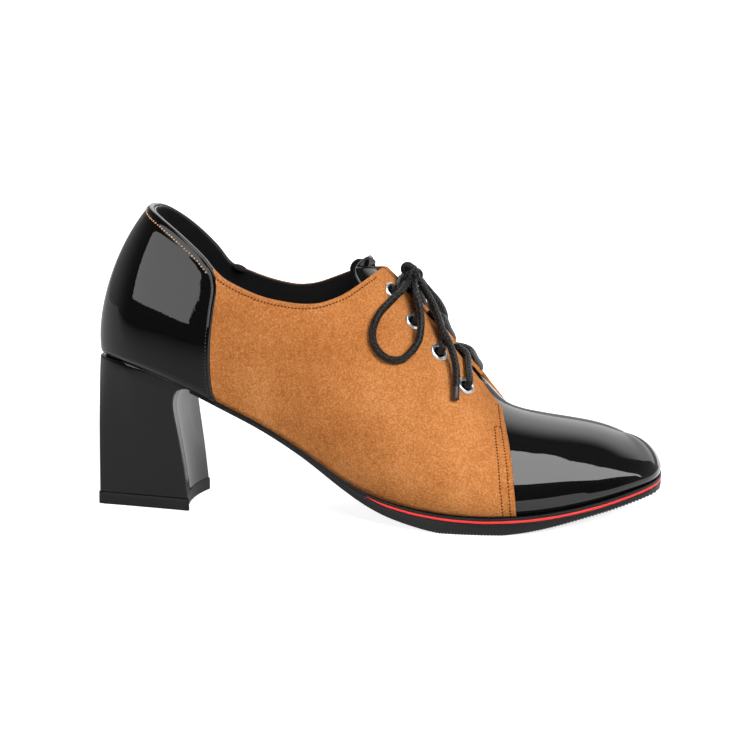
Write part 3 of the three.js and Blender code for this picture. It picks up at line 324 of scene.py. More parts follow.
class Last:
    """The form that the shoe is built on.

    Its rows run along it, and up runs from 0 on the feather line to 1 on the crest.
    """

    def __init__(self) -> None:
        """Sets up the smooth functions through the tables."""
        back, tip = SECTIONS[1], SECTIONS[-2]
        self.station = through(SECTIONS[:, 0], back[0], tip[0])
        self.half = {
            Side.OUTER: through(SECTIONS[:, 1], -back[2], -tip[2]),
            Side.INNER: through(SECTIONS[:, 2], -back[1], -tip[1]),
        }
        self.crest_station, self.shift, self.fullness, self.bulge, self.welt = (
            through(SECTIONS[:, k], back[k], tip[k]) for k in range(3, 8)
        )
        self.pitch, self.spring = follow(FEATHER, 1), follow(FEATHER, 2)
        self.crest_height = follow(CREST, 1)
        self.topline = {Side.OUTER: follow(TOPLINE_LATERAL, 1), Side.INNER: follow(TOPLINE_MEDIAL, 1)}
        self.opening = {Side.OUTER: follow(THROAT, 1), Side.INNER: follow(THROAT, 2)}
        self.ball_rise = OUTSOLE_THICKNESS + STRIPE_THICKNESS + MIDSOLE_THICKNESS + 2 * GAP + SEAT_GAP

    @staticmethod
    def x_of(station: Array) -> Array:
        """X of a station along the feather line."""
        return station * LAST_LENGTH - HEEL_SETBACK

    @staticmethod
    def station_of(x: Array) -> Array:
        """Station of an X."""
        return (x + HEEL_SETBACK) / LAST_LENGTH

    def feather_z(self, x: Array) -> Array:
        """Height of the feather line."""
        s = self.station_of(x)
        heel = self.pitch(s) * (HEEL_HEIGHT - self.ball_rise)
        return self.ball_rise + heel + self.spring(s) * TOE_SPRING

    def crest_z(self, x: Array) -> Array:
        """Height of the crest."""
        return INSTEP_HEIGHT * self.crest_height(self.station_of(x))

    def rib(self, side: Side, row: Array) -> tuple[Array, Array, Array, Array, Array]:
        """Foot, top, horizontal reach, inward direction and slope of the rib at a row."""
        x = self.x_of(self.station(row))
        y = side.value * BALL_WIDTH * self.half[side](row)
        crest_x = self.x_of(self.crest_station(row))
        foot = np.stack([x, y, self.feather_z(x)], -1)
        top = np.stack([crest_x, BALL_WIDTH * self.shift(row), self.crest_z(crest_x)], -1)
        flat = top[..., :2] - foot[..., :2]
        reach = np.linalg.norm(flat, axis=-1)
        inward = flat / reach[..., None]
        slope = inward[..., 0] * (self.crest_z(crest_x + 1) - self.crest_z(crest_x - 1)) / 2
        return foot, top, reach, inward, slope

    def point(self, side: Side, row: Array, up: Array) -> Array:
        """Points of the last's surface."""
        row, up = np.broadcast_arrays(np.asarray(row, float), np.asarray(up, float))
        foot, top, reach, inward, slope = self.rib(side, row)
        angle = np.clip(up, 0, 1) * math.pi / 2
        power = 2 / self.fullness(row)
        across = np.maximum(np.cos(angle), 0) ** power
        rise = np.sin(angle) ** power
        swell = BALL_WIDTH * self.bulge(row) * (up / BULGE_AT) * np.exp(1 - up / BULGE_AT) * (1 - up**4)
        inset = reach * (1 - across)
        flat = foot[..., :2] + inward * (inset - swell)[..., None]
        z = foot[..., 2] + rise * (top[..., 2] - foot[..., 2] - slope * reach) + slope * inset
        return np.concatenate([flat, z[..., None]], -1)

    def normal(self, side: Side, row: Array, up: Array) -> Array:
        """Outward normals; level under a small share of the rib, so that edges stay over the sole."""
        row, up = np.broadcast_arrays(np.asarray(row, float), np.asarray(up, float))
        high = np.minimum(up + 0.01, 1)
        low = np.maximum(high - 0.02, 0)
        along_rib = self.point(side, row, high) - self.point(side, row, low)
        ahead = self.point(side, np.minimum(row + 0.02, MOST_ROW), up)
        behind = self.point(side, np.maximum(row - 0.02, 0), up)
        along = ahead - behind
        at_end = (row < 1e-6) | (row > MOST_ROW - 1e-6)
        ends = np.zeros_like(along)
        ends[..., 1] = np.where(row < 1, side.value, -side.value)
        along = np.where(at_end[..., None], ends, along)
        normal = unit(np.cross(along, along_rib) * -side.value)
        normal[..., 2] *= np.clip(up / 0.08, 0, 1)
        crest_x = self.x_of(self.crest_station(row))
        rise = -(self.crest_z(crest_x + 1) - self.crest_z(crest_x - 1)) / 2
        crest = np.stack([rise, np.zeros_like(rise), np.ones_like(rise)], -1)
        return unit(np.where((up > 1 - 1e-6)[..., None], crest, normal))

    def offset(self, side: Side, row: Array, up: Array, out: Array) -> Array:
        """Points that stand off the last."""
        outward = self.normal(side, row, up)
        return self.point(side, row, up) + outward * np.asarray(out, float)[..., None]

    def row_at(self, station: Array) -> Array:
        """Row whose crest lies at a station."""
        station = np.asarray(station, float)
        most = np.full_like(station, MOST_ROW)
        return bisect(np.zeros_like(station), most, lambda row: self.crest_station(row) - station)

    def up_near_crest(self, side: Side, row: Array, distance: Array) -> Array:
        """Up of the point of a rib that lies this far from the crest, across the shoe."""
        row, distance = np.broadcast_arrays(np.asarray(row, float), np.asarray(distance, float))
        middle = self.rib(side, row)[1][..., 1]
        return bisect(
            np.full(row.shape, 0.3),
            np.ones(row.shape),
            lambda up: distance - np.abs(self.point(side, row, up)[..., 1] - middle),
        )

    def up_at_topline(self, side: Side, row: Array) -> Array:
        """Up of the collar's top edge on a rib."""
        row = np.asarray(row, float)

        def test(up: Array) -> Array:
            """Height over the edge."""
            p = self.point(side, row, up)
            return p[..., 2] - BACK_HEIGHT * self.topline[side](self.station_of(p[..., 0]))

        return bisect(np.zeros(row.shape), np.ones(row.shape), test)

    def facing_up(self, side: Side, row: Array, recess: float = 0.0) -> Array:
        """Up of the facing's edge on a rib."""
        opening = BALL_WIDTH * self.opening[side](self.crest_station(row))
        return self.up_near_crest(side, row, opening + recess)

    def wall_top(self, side: Side, row: Array, recess: float = 0.0) -> Array:
        """Up of the wall's top edge: the collar's or, in front of the corner, the facing's."""
        collar = self.up_at_topline(side, row)
        facing = self.facing_up(side, row, recess)
        return np.where(np.asarray(row) < MOST_ROW / 3, collar, np.minimum(collar, facing))

    def corner_row(self, side: Side) -> float:
        """Row of the facing's top corner."""
        found = bisect(
            np.array([MOST_ROW / 3]),
            np.array([MOST_ROW / 2]),
            lambda row: self.up_at_topline(side, row) - self.facing_up(side, row),
        )
        return float(found[0])


LAST = Last()
FACING_BOTTOM_ROW = float(LAST.row_at(np.array([FACING_BOTTOM]))[0])


# Points, distances and grids


def steps(count: int) -> Array:
    """Shares from 0 to 1 in equal steps."""
    return np.linspace(0.0, 1.0, count + 1)


def to_line(points: Array, line: Array) -> Array:
    """Distance of each point to a line.

    Args:
        points: any array of points.
        line: the line's points in order.

    Returns:
        Distances, one for each point.
    """
    flat = points.reshape(-1, 3)
    a, b = line[:-1], line[1:]
    along = b - a
    length = np.maximum((along**2).sum(1), 1e-12)
    found = np.empty(len(flat))
    for start in range(0, len(flat), 3000):
        p = flat[start : start + 3000, None, :]
        t = np.clip(((p - a) * along).sum(2) / length, 0, 1)
        found[start : start + 3000] = np.sqrt(((p - a - t[..., None] * along) ** 2).sum(2)).min(1)
    return found.reshape(points.shape[:-1])


def smooth_line(points: Array, step: float) -> Array:
    """A smooth line through points, resampled evenly.

    Args:
        points: points that the line passes.
        step: distance between the new points.

    Returns:
        The new points, both ends kept.
    """
    ends = np.concatenate([[2 * points[0] - points[1]], points, [2 * points[-1] - points[-2]]])
    fine = []
    for k in range(1, len(ends) - 2):
        p0, p1, p2, p3 = ends[k - 1 : k + 3]
        gaps = (p1 - p0, p2 - p1, p3 - p2)
        knots = np.cumsum([0.0] + [max(np.linalg.norm(gap), 1e-9) ** 0.5 for gap in gaps])
        t = np.linspace(knots[1], knots[2], 24, endpoint=False)[:, None]

        def blend(a: Array, b: Array, low: float, high: float, t: Array = t) -> Array:
            """From a at low to b at high."""
            return (high - t) / (high - low) * a + (t - low) / (high - low) * b

        k0, k1, k2, k3 = knots
        a1, a2, a3 = blend(p0, p1, k0, k1), blend(p1, p2, k1, k2), blend(p2, p3, k2, k3)
        fine.append(blend(blend(a1, a2, k0, k2), blend(a2, a3, k1, k3), k1, k2))
    fine = np.concatenate([*fine, points[-1:]])
    return resampled(fine, step)


def run_of(line: Array) -> Array:
    """Distance along a line at each of its points."""
    return np.concatenate([[0.0], np.cumsum(np.linalg.norm(np.diff(line, axis=0), axis=1))])


def resampled(line: Array, step: float) -> Array:
    """A line's points at even distances, both ends kept."""
    along = run_of(line)
    at = np.linspace(0, along[-1], max(int(round(along[-1] / step)), 2) + 1)
    return np.stack([np.interp(at, along, line[:, k]) for k in range(3)], 1)


def grid_faces(columns: int, rows: int, wrap: bool, start: int = 0) -> Array:
    """Quads of a grid of points numbered column by column."""
    i = np.arange(columns if wrap else columns - 1)[:, None]
    j = np.arange(rows - 1)[None, :]
    n = (i + 1) % columns
    a, b = start + i * rows + j, start + n * rows + j
    return np.stack([a, b, b + 1, a + 1], -1).reshape(-1, 4)


@dataclass
class Body:
    """A closed form: points in millimetres, quads with their finish numbers, and end caps."""

    points: Array
    faces: Array
    finish: Array
    caps: tuple[list[int], ...] = ()


def shell(outer: Array, inner: Array, wrap: bool = False, inner_finish: int = 0) -> Body:
    """Closed form between two grids of the same size.

    Args:
        outer: outer grid, columns by rows by 3.
        inner: inner grid.
        wrap: whether the last column joins the first.
        inner_finish: finish number of the inner faces and edges.

    Returns:
        The form.
    """
    columns, rows = outer.shape[:2]
    count = columns * rows
    out = grid_faces(columns, rows, wrap)
    inside = grid_faces(columns, rows, wrap, count)[:, ::-1]
    i = np.arange(columns if wrap else columns - 1)
    n = (i + 1) % columns
    low = np.stack([i * rows, i * rows + count, n * rows + count, n * rows], 1)
    top = rows - 1
    high = np.stack([i * rows + top, n * rows + top, n * rows + top + count, i * rows + top + count], 1)
    strips = [low, high]
    if not wrap:
        j = np.arange(rows - 1)
        end = (columns - 1) * rows
        strips.append(np.stack([j, j + 1, j + 1 + count, j + count], 1))
        strips.append(np.stack([end + j, end + j + count, end + j + 1 + count, end + j + 1], 1))
    edge = np.concatenate(strips)
    finish = np.concatenate([np.zeros(len(out), int), np.full(len(inside) + len(edge), inner_finish)])
    points = np.concatenate([outer.reshape(-1, 3), inner.reshape(-1, 3)])
    return Body(points, np.concatenate([out, inside, edge]), finish)


def rounding(distance: Array, radius: float) -> Array:
    """Share of the full thickness at a distance from a rolled edge."""
    return np.sqrt(np.clip(1 - (1 - np.clip(distance / radius, 0, 1)) ** 2, 0, 1))


def linked(name: str, data: bpy.types.ID) -> Object:
    """A new object of this mesh, light or camera, in the scene."""
    piece = bpy.data.objects.new(name, data)
    bpy.context.scene.collection.objects.link(piece)
    return piece


def aimed(piece: Object, place: Spot, aim: Spot) -> None:
    """Puts a light or camera at a place and turns its front to a point."""
    piece.location = place
    piece.rotation_mode = "QUATERNION"
    piece.rotation_quaternion = (Vector(aim) - Vector(place)).to_track_quat("-Z", "Y")


def edit(*operations: Callable[[], object]) -> None:
    """Runs operators in edit mode, each with the whole mesh of the active piece selected."""
    bpy.ops.object.mode_set(mode="EDIT")
    for operation in operations:
        bpy.ops.mesh.select_all(action="SELECT")
        operation()
    bpy.ops.object.mode_set(mode="OBJECT")


def deselect() -> None:
    """Leaves nothing selected, so that an operator acts on the new piece alone."""
    bpy.ops.object.select_all(action="DESELECT")


def as_object(name: str, form: Body, finishes: list[Material], recalc: bool = True) -> Object:
    """A form as a Blender object, its doubles merged and its faces turned out.

    Args:
        name: the object's name.
        form: the form, in millimetres.
        finishes: materials by finish number.
        recalc: whether faces are turned out by their volume.

    Returns:
        The object, linked to the scene.
    """
    mesh = bpy.data.meshes.new(name)
    mesh.from_pydata((form.points * MM).tolist(), [], form.faces.tolist())
    mesh.polygons.foreach_set("material_index", form.finish.astype(np.int32))
    for finish in finishes:
        mesh.materials.append(finish)
    work = bmesh.new()
    work.from_mesh(mesh)
    bmesh.ops.remove_doubles(work, verts=work.verts, dist=2e-6)
    bmesh.ops.dissolve_degenerate(work, edges=work.edges, dist=2e-6)
    if recalc:
        bmesh.ops.recalc_face_normals(work, faces=work.faces)
    for face in work.faces:
        face.smooth = True
    work.to_mesh(mesh)
    work.free()
    return linked(name, mesh)


def settle(piece: Object, slot: str, *nodes: str) -> Object:
    """Rides a piece on the shoe and reports it.

    Args:
        piece: the finished piece.
        slot: name of its material slot, only reported.
        nodes: CAD nodes that the piece stands for.

    Returns:
        The piece.
    """
    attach(piece, "root")
    if nodes:
        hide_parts(*nodes)
    LOG.info("%s: %d faces, slot %s", piece.name, len(piece.data.polygons), slot)
    return piece


def make_active(piece: Object) -> None:
    """Selects one piece alone."""
    deselect()
    piece.select_set(True)
    bpy.context.view_layer.objects.active = piece


def rounded(piece: Object, width: float, segments: int, angle: float) -> None:
    """Bevels a piece's sharp edges.

    Args:
        piece: the piece.
        width: the bevel's width, in millimetres.
        segments: faces across it.
        angle: sharpest angle that stays as it is, in degrees.
    """
    make_active(piece)
    modifier = piece.modifiers.new("edge", "BEVEL")
    modifier.width = width * MM
    modifier.segments = segments
    modifier.limit_method = "ANGLE"
    modifier.angle_limit = math.radians(angle)
    modifier.use_clamp_overlap = True
    bpy.ops.object.modifier_apply(modifier=modifier.name)
    bpy.ops.object.shade_smooth_by_angle(angle=math.radians(40))


def drilled(piece: Object, places: list["EyeletPlace"], radius: float) -> None:
    """Punches a hole for each eyelet.

    Args:
        piece: the layer that is punched.
        places: the eyelets' places.
        radius: the hole's radius, in millimetres.
    """
    drills = []
    for place in places:
        deselect()
        bpy.ops.mesh.primitive_cylinder_add(vertices=40, radius=radius * MM, depth=9 * MM)
        place.put(bpy.context.active_object.data)
        drills.append(bpy.context.active_object)
    deselect()
    for drill in drills:
        drill.select_set(True)
    bpy.context.view_layer.objects.active = drills[0]
    bpy.ops.object.join()
    drill = bpy.context.active_object
    make_active(piece)
    modifier = piece.modifiers.new("holes", "BOOLEAN")
    modifier.operation = "DIFFERENCE"
    modifier.solver = "EXACT"
    modifier.object = drill
    bpy.ops.object.modifier_apply(modifier=modifier.name)
    bpy.data.objects.remove(drill)


# The shoe's sub-assemblies


@dataclass(frozen=True)
class EyeletPlace:
    """Where an eyelet sits: its middle on the last, in millimetres, and the way that it faces."""

    side: Side
    number: int
    middle: Spot
    facing: Spot

    def put(self, mesh: bpy.types.Mesh) -> None:
        """Turns a mesh's +Z to the facing and shifts it to the middle."""
        mesh.transform(Vector(self.facing).to_track_quat("Z", "Y").to_matrix().to_4x4())
        mesh.transform(Matrix.Translation(Vector(self.middle) * MM))


def eyelet_places() -> list[EyeletPlace]:
    """Places of all the eyelets, found as the solids find them."""
    places = []
    for side in Side:
        shift = MEDIAL_EYELET_SHIFT if side is Side.INNER else 0.0
        for number, (station, inset, _) in enumerate(EYELETS, 1):
            row = LAST.row_at(np.array([station]))
            edge = LAST.point(side, row, LAST.facing_up(side, row))
            x = LAST.rib(side, row)[1][..., 0]
            slant = np.hypot(1, (LAST.crest_z(x + 1) - LAST.crest_z(x - 1)) / 2)
            down = BALL_WIDTH * (inset + shift) * slant
            up = bisect(
                np.array([0.3]),
                np.array([1.0]),
                lambda value: down - np.linalg.norm(LAST.point(side, row, value) - edge, axis=-1),
            )
            middle, facing = LAST.point(side, row, up)[0], LAST.normal(side, row, up)[0]
            places.append(EyeletPlace(side, number, tuple(middle), tuple(facing)))
    return places


def shoe_rows(count: int) -> Array:
    """Rows from heel to toe, closer together where the outline turns and round the throat's corners."""
    share = steps(count)
    rows = MOST_ROW * (share - 0.018 * np.sin(2 * math.pi * share))
    corners = [LAST.corner_row(side) for side in Side]
    near = np.array([-0.12, -0.05, 0.0, 0.05, 0.12])
    extra = [corner + near for corner in corners]
    extra.append(FACING_BOTTOM_ROW + np.array([-0.1, -0.04, 0.0, 0.03, 0.06, 0.09, THROAT_FRONT, 0.16]))
    rows = np.unique(np.round(np.concatenate([rows, *extra]), 5))
    return rows[(rows >= 0) & (rows <= MOST_ROW)]


def edge_shares(count: int, reach: float) -> Array:
    """Shares from 0 to 1 that bunch at 1, for a rolled edge.

    Args:
        count: number of even steps over the rest.
        reach: length that the shares run over, in millimetres.

    Returns:
        The shares.
    """
    near = 1 - np.array([0.0, 0.04, 0.12, 0.25, 0.42, 0.65, 0.95, 1.35, 1.9, 2.6]) / reach
    return np.unique(np.concatenate([np.linspace(0, near.min(), count, endpoint=False), near]))


@dataclass
class Upper:
    """Vamp, side walls and lining: one hollow shell with a rolled edge round collar and throat."""

    wall: float = WALL
    columns: int = 132
    rows: int = 42
    edge: float = 0.8
    seam_depth: float = 0.35
    toe_from: float = 168.0
    toe_passes: int = 150

    def top(self, side: Side, row: Array) -> Array:
        """Up of the shell's top edge, 1 where it closes over the crest."""
        wall = LAST.wall_top(side, row, THROAT_RECESS)
        bottom = LAST.wall_top(side, np.array([FACING_BOTTOM_ROW]), THROAT_RECESS)[0]
        share = (row - FACING_BOTTOM_ROW) / THROAT_FRONT
        front = bottom + (1 - bottom) * np.clip(share, 0, 1)
        return np.where(share <= 1e-4, wall, np.where(share >= 1 - 1e-4, 1.0, front))

    def relaxed(self, piece: Object) -> None:
        """Evens out the toe, where the ribs fan out; each second pass undoes the first's shrinking."""
        points = np.empty(len(piece.data.vertices) * 3)
        piece.data.vertices.foreach_get("co", points)
        points = points.reshape(-1, 3) / MM
        chosen = (points[:, 0] > self.toe_from) & (points[:, 2] > LAST.feather_z(points[:, 0]) + 4.0)
        make_active(piece)
        bpy.ops.object.mode_set(mode="EDIT")
        bpy.ops.mesh.select_all(action="DESELECT")
        bpy.ops.object.mode_set(mode="OBJECT")
        piece.data.vertices.foreach_set("select", chosen)
        bpy.ops.object.mode_set(mode="EDIT")
        for _ in range(self.toe_passes):
            bpy.ops.mesh.vertices_smooth(factor=0.6)
            bpy.ops.mesh.vertices_smooth(factor=-0.56)
        bpy.ops.object.mode_set(mode="OBJECT")

    def build(self, patent: Material, lining: Material, places: list[EyeletPlace]) -> None:
        """Builds the shell, patent outside and lined inside.

        Args:
            patent: finish of the outside.
            lining: finish of the inside.
            places: the eyelets.
        """
        rows = shoe_rows(self.columns)
        up = edge_shares(self.rows, 75.0) ** 1.15
        grids, normals, edges, seams = [], [], [], []
        for side in Side:
            own = rows if side is Side.OUTER else rows[1:-1][::-1]
            top = self.top(side, own)
            ups = top[:, None] * up[None, :]
            grids.append(LAST.point(side, own[:, None], ups))
            normals.append(LAST.normal(side, own[:, None], ups))
            all_tops = self.top(side, rows)
            open_rows = rows[(all_tops < 1) | (np.abs(rows - FACING_BOTTOM_ROW - THROAT_FRONT) < 1e-4)]
            edges.append(LAST.point(side, open_rows, self.top(side, open_rows)))
            seam_row = 3.86 if side is Side.OUTER else 3.7
            seam_up = np.linspace(0.03, float(self.top(side, np.array([seam_row]))[0]), 60)
            seams.append(LAST.point(side, np.full(60, seam_row), seam_up))
        grid, normal = np.concatenate(grids), np.concatenate(normals)
        distance = np.minimum(to_line(grid, edges[0]), to_line(grid, edges[1]))
        half = self.wall / 2 * rounding(distance, self.edge)
        seam = np.minimum(to_line(grid, seams[0]), to_line(grid, seams[1]))
        groove = self.seam_depth * np.exp(-((seam / 0.5) ** 2))
        outer = grid + normal * (half - self.wall / 2)[..., None]
        inner = grid + normal * (groove - half - self.wall / 2)[..., None]
        form = shell(outer, inner, wrap=True, inner_finish=1)
        piece = as_object("upper_shell", form, [patent, lining])
        self.relaxed(piece)
        drilled(piece, places, EYELET_HOLE_RADIUS + HOLE_SLACK)
        settle(piece, "patent", "upper")


@dataclass
class Skin:
    """A layer over the upper, on a grid from one front edge to another and from the sole up."""

    name: str
    low: float
    thickness: float
    edge: float

    def build(
        self,
        grid: Array,
        normal: Array,
        edges: list[Array],
        channels: list[tuple[Array, float, float]],
        finishes: list[Material],
    ) -> Object:
        """Builds the layer.

        Args:
            grid: points on the last.
            normal: outward normals there.
            edges: lines along which its edge is rolled.
            channels: sewn lines, each with its depth and half width.
            finishes: its materials, the second one for its back and edges if there are two.

        Returns:
            The piece, not yet settled.
        """
        distance = np.minimum.reduce([to_line(grid, line) for line in edges])
        thick = self.thickness * rounding(distance, self.edge)
        dip = 0.0
        for line, depth, width in channels:
            dip = dip + depth * np.exp(-((to_line(grid, line) / width) ** 2))
        face = np.maximum(thick - dip, np.minimum(thick, THINNEST))
        outer = grid + normal * (self.low + face)[..., None]
        inner = grid + normal * self.low
        return as_object(self.name, shell(outer, inner, inner_finish=len(finishes) - 1), finishes)


def inset_line(line: Array, normal: Array, distance: float | Array, inside: Array) -> Array:
    """A line moved sideways over the surface.

    Args:
        line: points of an edge.
        normal: outward normals of the surface there.
        distance: how far it moves, in millimetres, in all or at each point.
        inside: a point on the side that it moves to.

    Returns:
        The moved line.
    """
    along = unit(np.gradient(line, axis=0))
    across = unit(np.cross(normal, along))
    sign = np.sign(((inside - line) * across).sum(-1))
    sign = 1.0 if np.median(sign) >= 0 else -1.0
    return line + across * sign * np.broadcast_to(distance, len(line))[:, None]


@dataclass
class Sewing:
    """Stitches of one thread colour, laid along lines on finished pieces."""

    name: str
    slot: str
    pitch: float = 1.5
    length: float = 1.0
    thickness: float = 0.6

    def model(self) -> tuple[Array, Array]:
        """Points and faces of one stitch, modelled once: a ball drawn out along X."""
        deselect()
        bpy.ops.mesh.primitive_uv_sphere_add(segments=8, ring_count=6, radius=0.5)
        ball = bpy.context.active_object
        size, quarter = (self.length, self.thickness, self.thickness), math.pi / 2
        edit(
            lambda: bpy.ops.transform.rotate(value=quarter, orient_axis="Y", center_override=(0, 0, 0)),
            lambda: bpy.ops.transform.resize(value=size),
            lambda: bpy.ops.mesh.quads_convert_to_tris(),
        )
        points = np.array([v.co for v in ball.data.vertices])
        faces = np.array([tuple(f.vertices) for f in ball.data.polygons])
        bpy.data.objects.remove(ball)
        return points, faces

    def build(self, rows: list[tuple[Array, Object]], thread: Material) -> None:
        """Sews each line onto its piece.

        Args:
            rows: lines, each with the piece that it is sewn on.
            thread: the thread's finish.
        """
        one, faces = self.model()
        points, sewn = [], []
        trees: dict[str, BVHTree] = {}
        graph = bpy.context.evaluated_depsgraph_get()
        for line, piece in rows:
            if piece.name not in trees:
                trees[piece.name] = BVHTree.FromObject(piece, graph)
            spots = resampled(line, self.pitch)
            middles = (spots[1:] + spots[:-1]) / 2
            along = unit(np.diff(spots, axis=0))
            for middle, direction in zip(middles, along, strict=True):
                place, normal, _, _ = trees[piece.name].find_nearest(Vector(middle) * MM)
                up = np.array(normal)
                ahead = unit(direction - up * (direction @ up))
                at = np.array(place) / MM + up * STITCH_LIFT
                sewn.append(faces + len(points) * len(one))
                points.append(at + one @ np.stack([ahead, np.cross(up, ahead), up]))
        finish = np.zeros(len(faces) * len(points), int)
        form = Body(np.concatenate(points), np.concatenate(sewn), finish)
        settle(as_object(self.name, form, [thread], recalc=False), self.slot)


def counter_edge_x(side: Side) -> Line:
    """X of the counter's front edge as a function of height."""
    rise = steps(60)
    x = LAST.x_of(follow(COUNTER_EDGE, 1)(rise)) - (COUNTER_MEDIAL_SETBACK if side is Side.INNER else 0)
    low = LAST.feather_z(x)
    z = low + rise * (BACK_HEIGHT * LAST.topline[side](LAST.station_of(x)) - low)
    return lambda at: np.interp(at, z, x)


def vamp_seam_x(side: Side) -> Line:
    """X of the vamp seam as a function of height."""
    x = LAST.x_of(VAMP_SEAM[:, 0])
    z = INSTEP_HEIGHT * VAMP_SEAM[:, 1]
    end = LAST.x_of(np.array([VAMP_SEAM_END]))
    line = np.stack([np.append(x, end), np.zeros(len(x) + 1), np.append(z, LAST.feather_z(end))], 1)
    line = smooth_line(line, 0.5)[::-1]
    setback = SEAM_MEDIAL_SETBACK if side is Side.INNER else 0
    return lambda at: np.interp(at, line[:, 2], line[:, 0]) - setback


def row_on_line(side: Side, up: Array, line: Line, low: float, high: float) -> Array:
    """Rows where a layer's cut line crosses the surface.

    Args:
        side: side of the foot.
        up: shares of the wall's height.
        line: the cut line's X as a function of height.
        low: row behind the line.
        high: row in front of it.

    Returns:
        One row for each share.
    """

    def past(row: Array) -> Array:
        """How far the surface's point lies past the line."""
        point = LAST.point(side, row, up * LAST.wall_top(side, row))
        return point[..., 0] - line(point[..., 2])

    return bisect(np.full(up.shape, low), np.full(up.shape, high), past)


# Sewn rows, in millimetres from their edges: the vamp seam's two, the topline's, and the counter's
SEAM_ROWS = (2.5, 5.8)
SEAM_BAR_Z = 41.5  # height of the bar that the second row starts from
TOPLINE_ROW = 2.1
COUNTER_TOP_ROW = ((0.0, 14.0, 50.0), (1.9, 3.4, 3.5))  # way from the heel's back, distance
COUNTER_EDGE_ROW = 2.3


@dataclass
class Edges:
    """Border lines of a layer, with the last's normals along them."""

    top: Array
    top_normal: Array
    front: Array
    front_normal: Array


def sewn_line(
    line: Array, normal: Array, distance: float | Array, inside: Array, lift: float = 0.0
) -> Array:
    """A line inside an edge at one distance, trimmed where it would turn back on itself.

    Args:
        line: points of the edge.
        normal: outward normals there.
        distance: how far inside, in millimetres, in all or at each point.
        inside: a point well inside the edge.
        lift: how far it stands off the last.

    Returns:
        The line, with points 0.5 mm apart.
    """
    moved = inset_line(line, normal, distance, inside)
    kept = to_line(moved, resampled(line, 0.4)) > 0.96 * distance
    return resampled((moved + normal * lift)[kept], 0.5)


@dataclass
class Quarter:
    """Suede quarter of one side, from under the counter's edge to the vamp seam, with its holes."""

    side: Side
    rows: int = 44
    back_columns: int = 36
    front_columns: int = 60
    under_counter: float = 0.9
    edge: float = 0.9

    def grid(self) -> tuple[Array, Array]:
        """The layer's points on the last, and the normals there."""
        share = edge_shares(self.rows, 60.0)
        back_line, front_line = counter_edge_x(self.side), vamp_seam_x(self.side)
        corner = LAST.corner_row(self.side)

        def hidden(z: Array) -> Array:
            """X of the back edge, under the counter."""
            return back_line(z) - self.under_counter

        back = row_on_line(self.side, share, hidden, 2.0, corner - 0.2)
        front = row_on_line(self.side, share, front_line, corner + 0.2, 11.0)
        left = 1 - edge_shares(self.back_columns, 62.0)[::-1]
        left = np.unique(np.concatenate([left, 1 - np.array([0.012, 0.03, 0.06])]))
        right = edge_shares(self.front_columns, 60.0)
        right = np.unique(np.concatenate([right, np.array([0.008, 0.02, 0.04])]))
        row = np.concatenate(
            [back + (corner - back) * left[:, None], corner + (front - corner) * right[1:, None]],
        )
        up = share[None, :] * LAST.wall_top(self.side, row)
        return LAST.point(self.side, row, up), LAST.normal(self.side, row, up)

    def sewn(self, edges: Edges, lift: float) -> list[Array]:
        """Its sewn rows: topline, both rows of the vamp seam, and the second one's bar.

        Args:
            edges: its border lines.
            lift: how far the rows stand off the last.

        Returns:
            The rows.
        """
        inside = LAST.point(self.side, 6.0, 0.5)
        corner = LAST.rib(self.side, np.array([LAST.corner_row(self.side)]))[1][0, 0]
        top = sewn_line(edges.top, edges.top_normal, TOPLINE_ROW, inside, lift)
        front, ways = edges.front, edges.front_normal
        near, far = (sewn_line(front, ways, distance, inside, lift) for distance in SEAM_ROWS)
        far = far[far[:, 2] < SEAM_BAR_Z]
        start = near[np.argmin(np.linalg.norm(near - far[-1], axis=1))]
        return [top[top[:, 0] < corner], near, far, np.array([far[-1], start])]

    def build(self, suede: Material, places: list[EyeletPlace]) -> tuple[Object, Edges]:
        """Builds the quarter.

        Args:
            suede: its finish.
            places: the eyelets of this side.

        Returns:
            The piece and its border lines.
        """
        node = f"quarter_{self.side.name.lower()}"
        grid, normal = self.grid()
        edges = Edges(grid[:, -1], normal[:, -1], grid[-1], normal[-1])
        channels = [(line, 0.28, 0.5) for line in self.sewn(edges, 0.0)]
        skin = Skin(f"{node}_suede", SUEDE_LOW, QUARTER_TOP - SUEDE_LOW, self.edge)
        piece = skin.build(grid, normal, [edges.top, edges.front], channels, [suede])
        drilled(piece, places, EYELET_HOLE_RADIUS + HOLE_SLACK)
        return settle(piece, "suede", node), edges


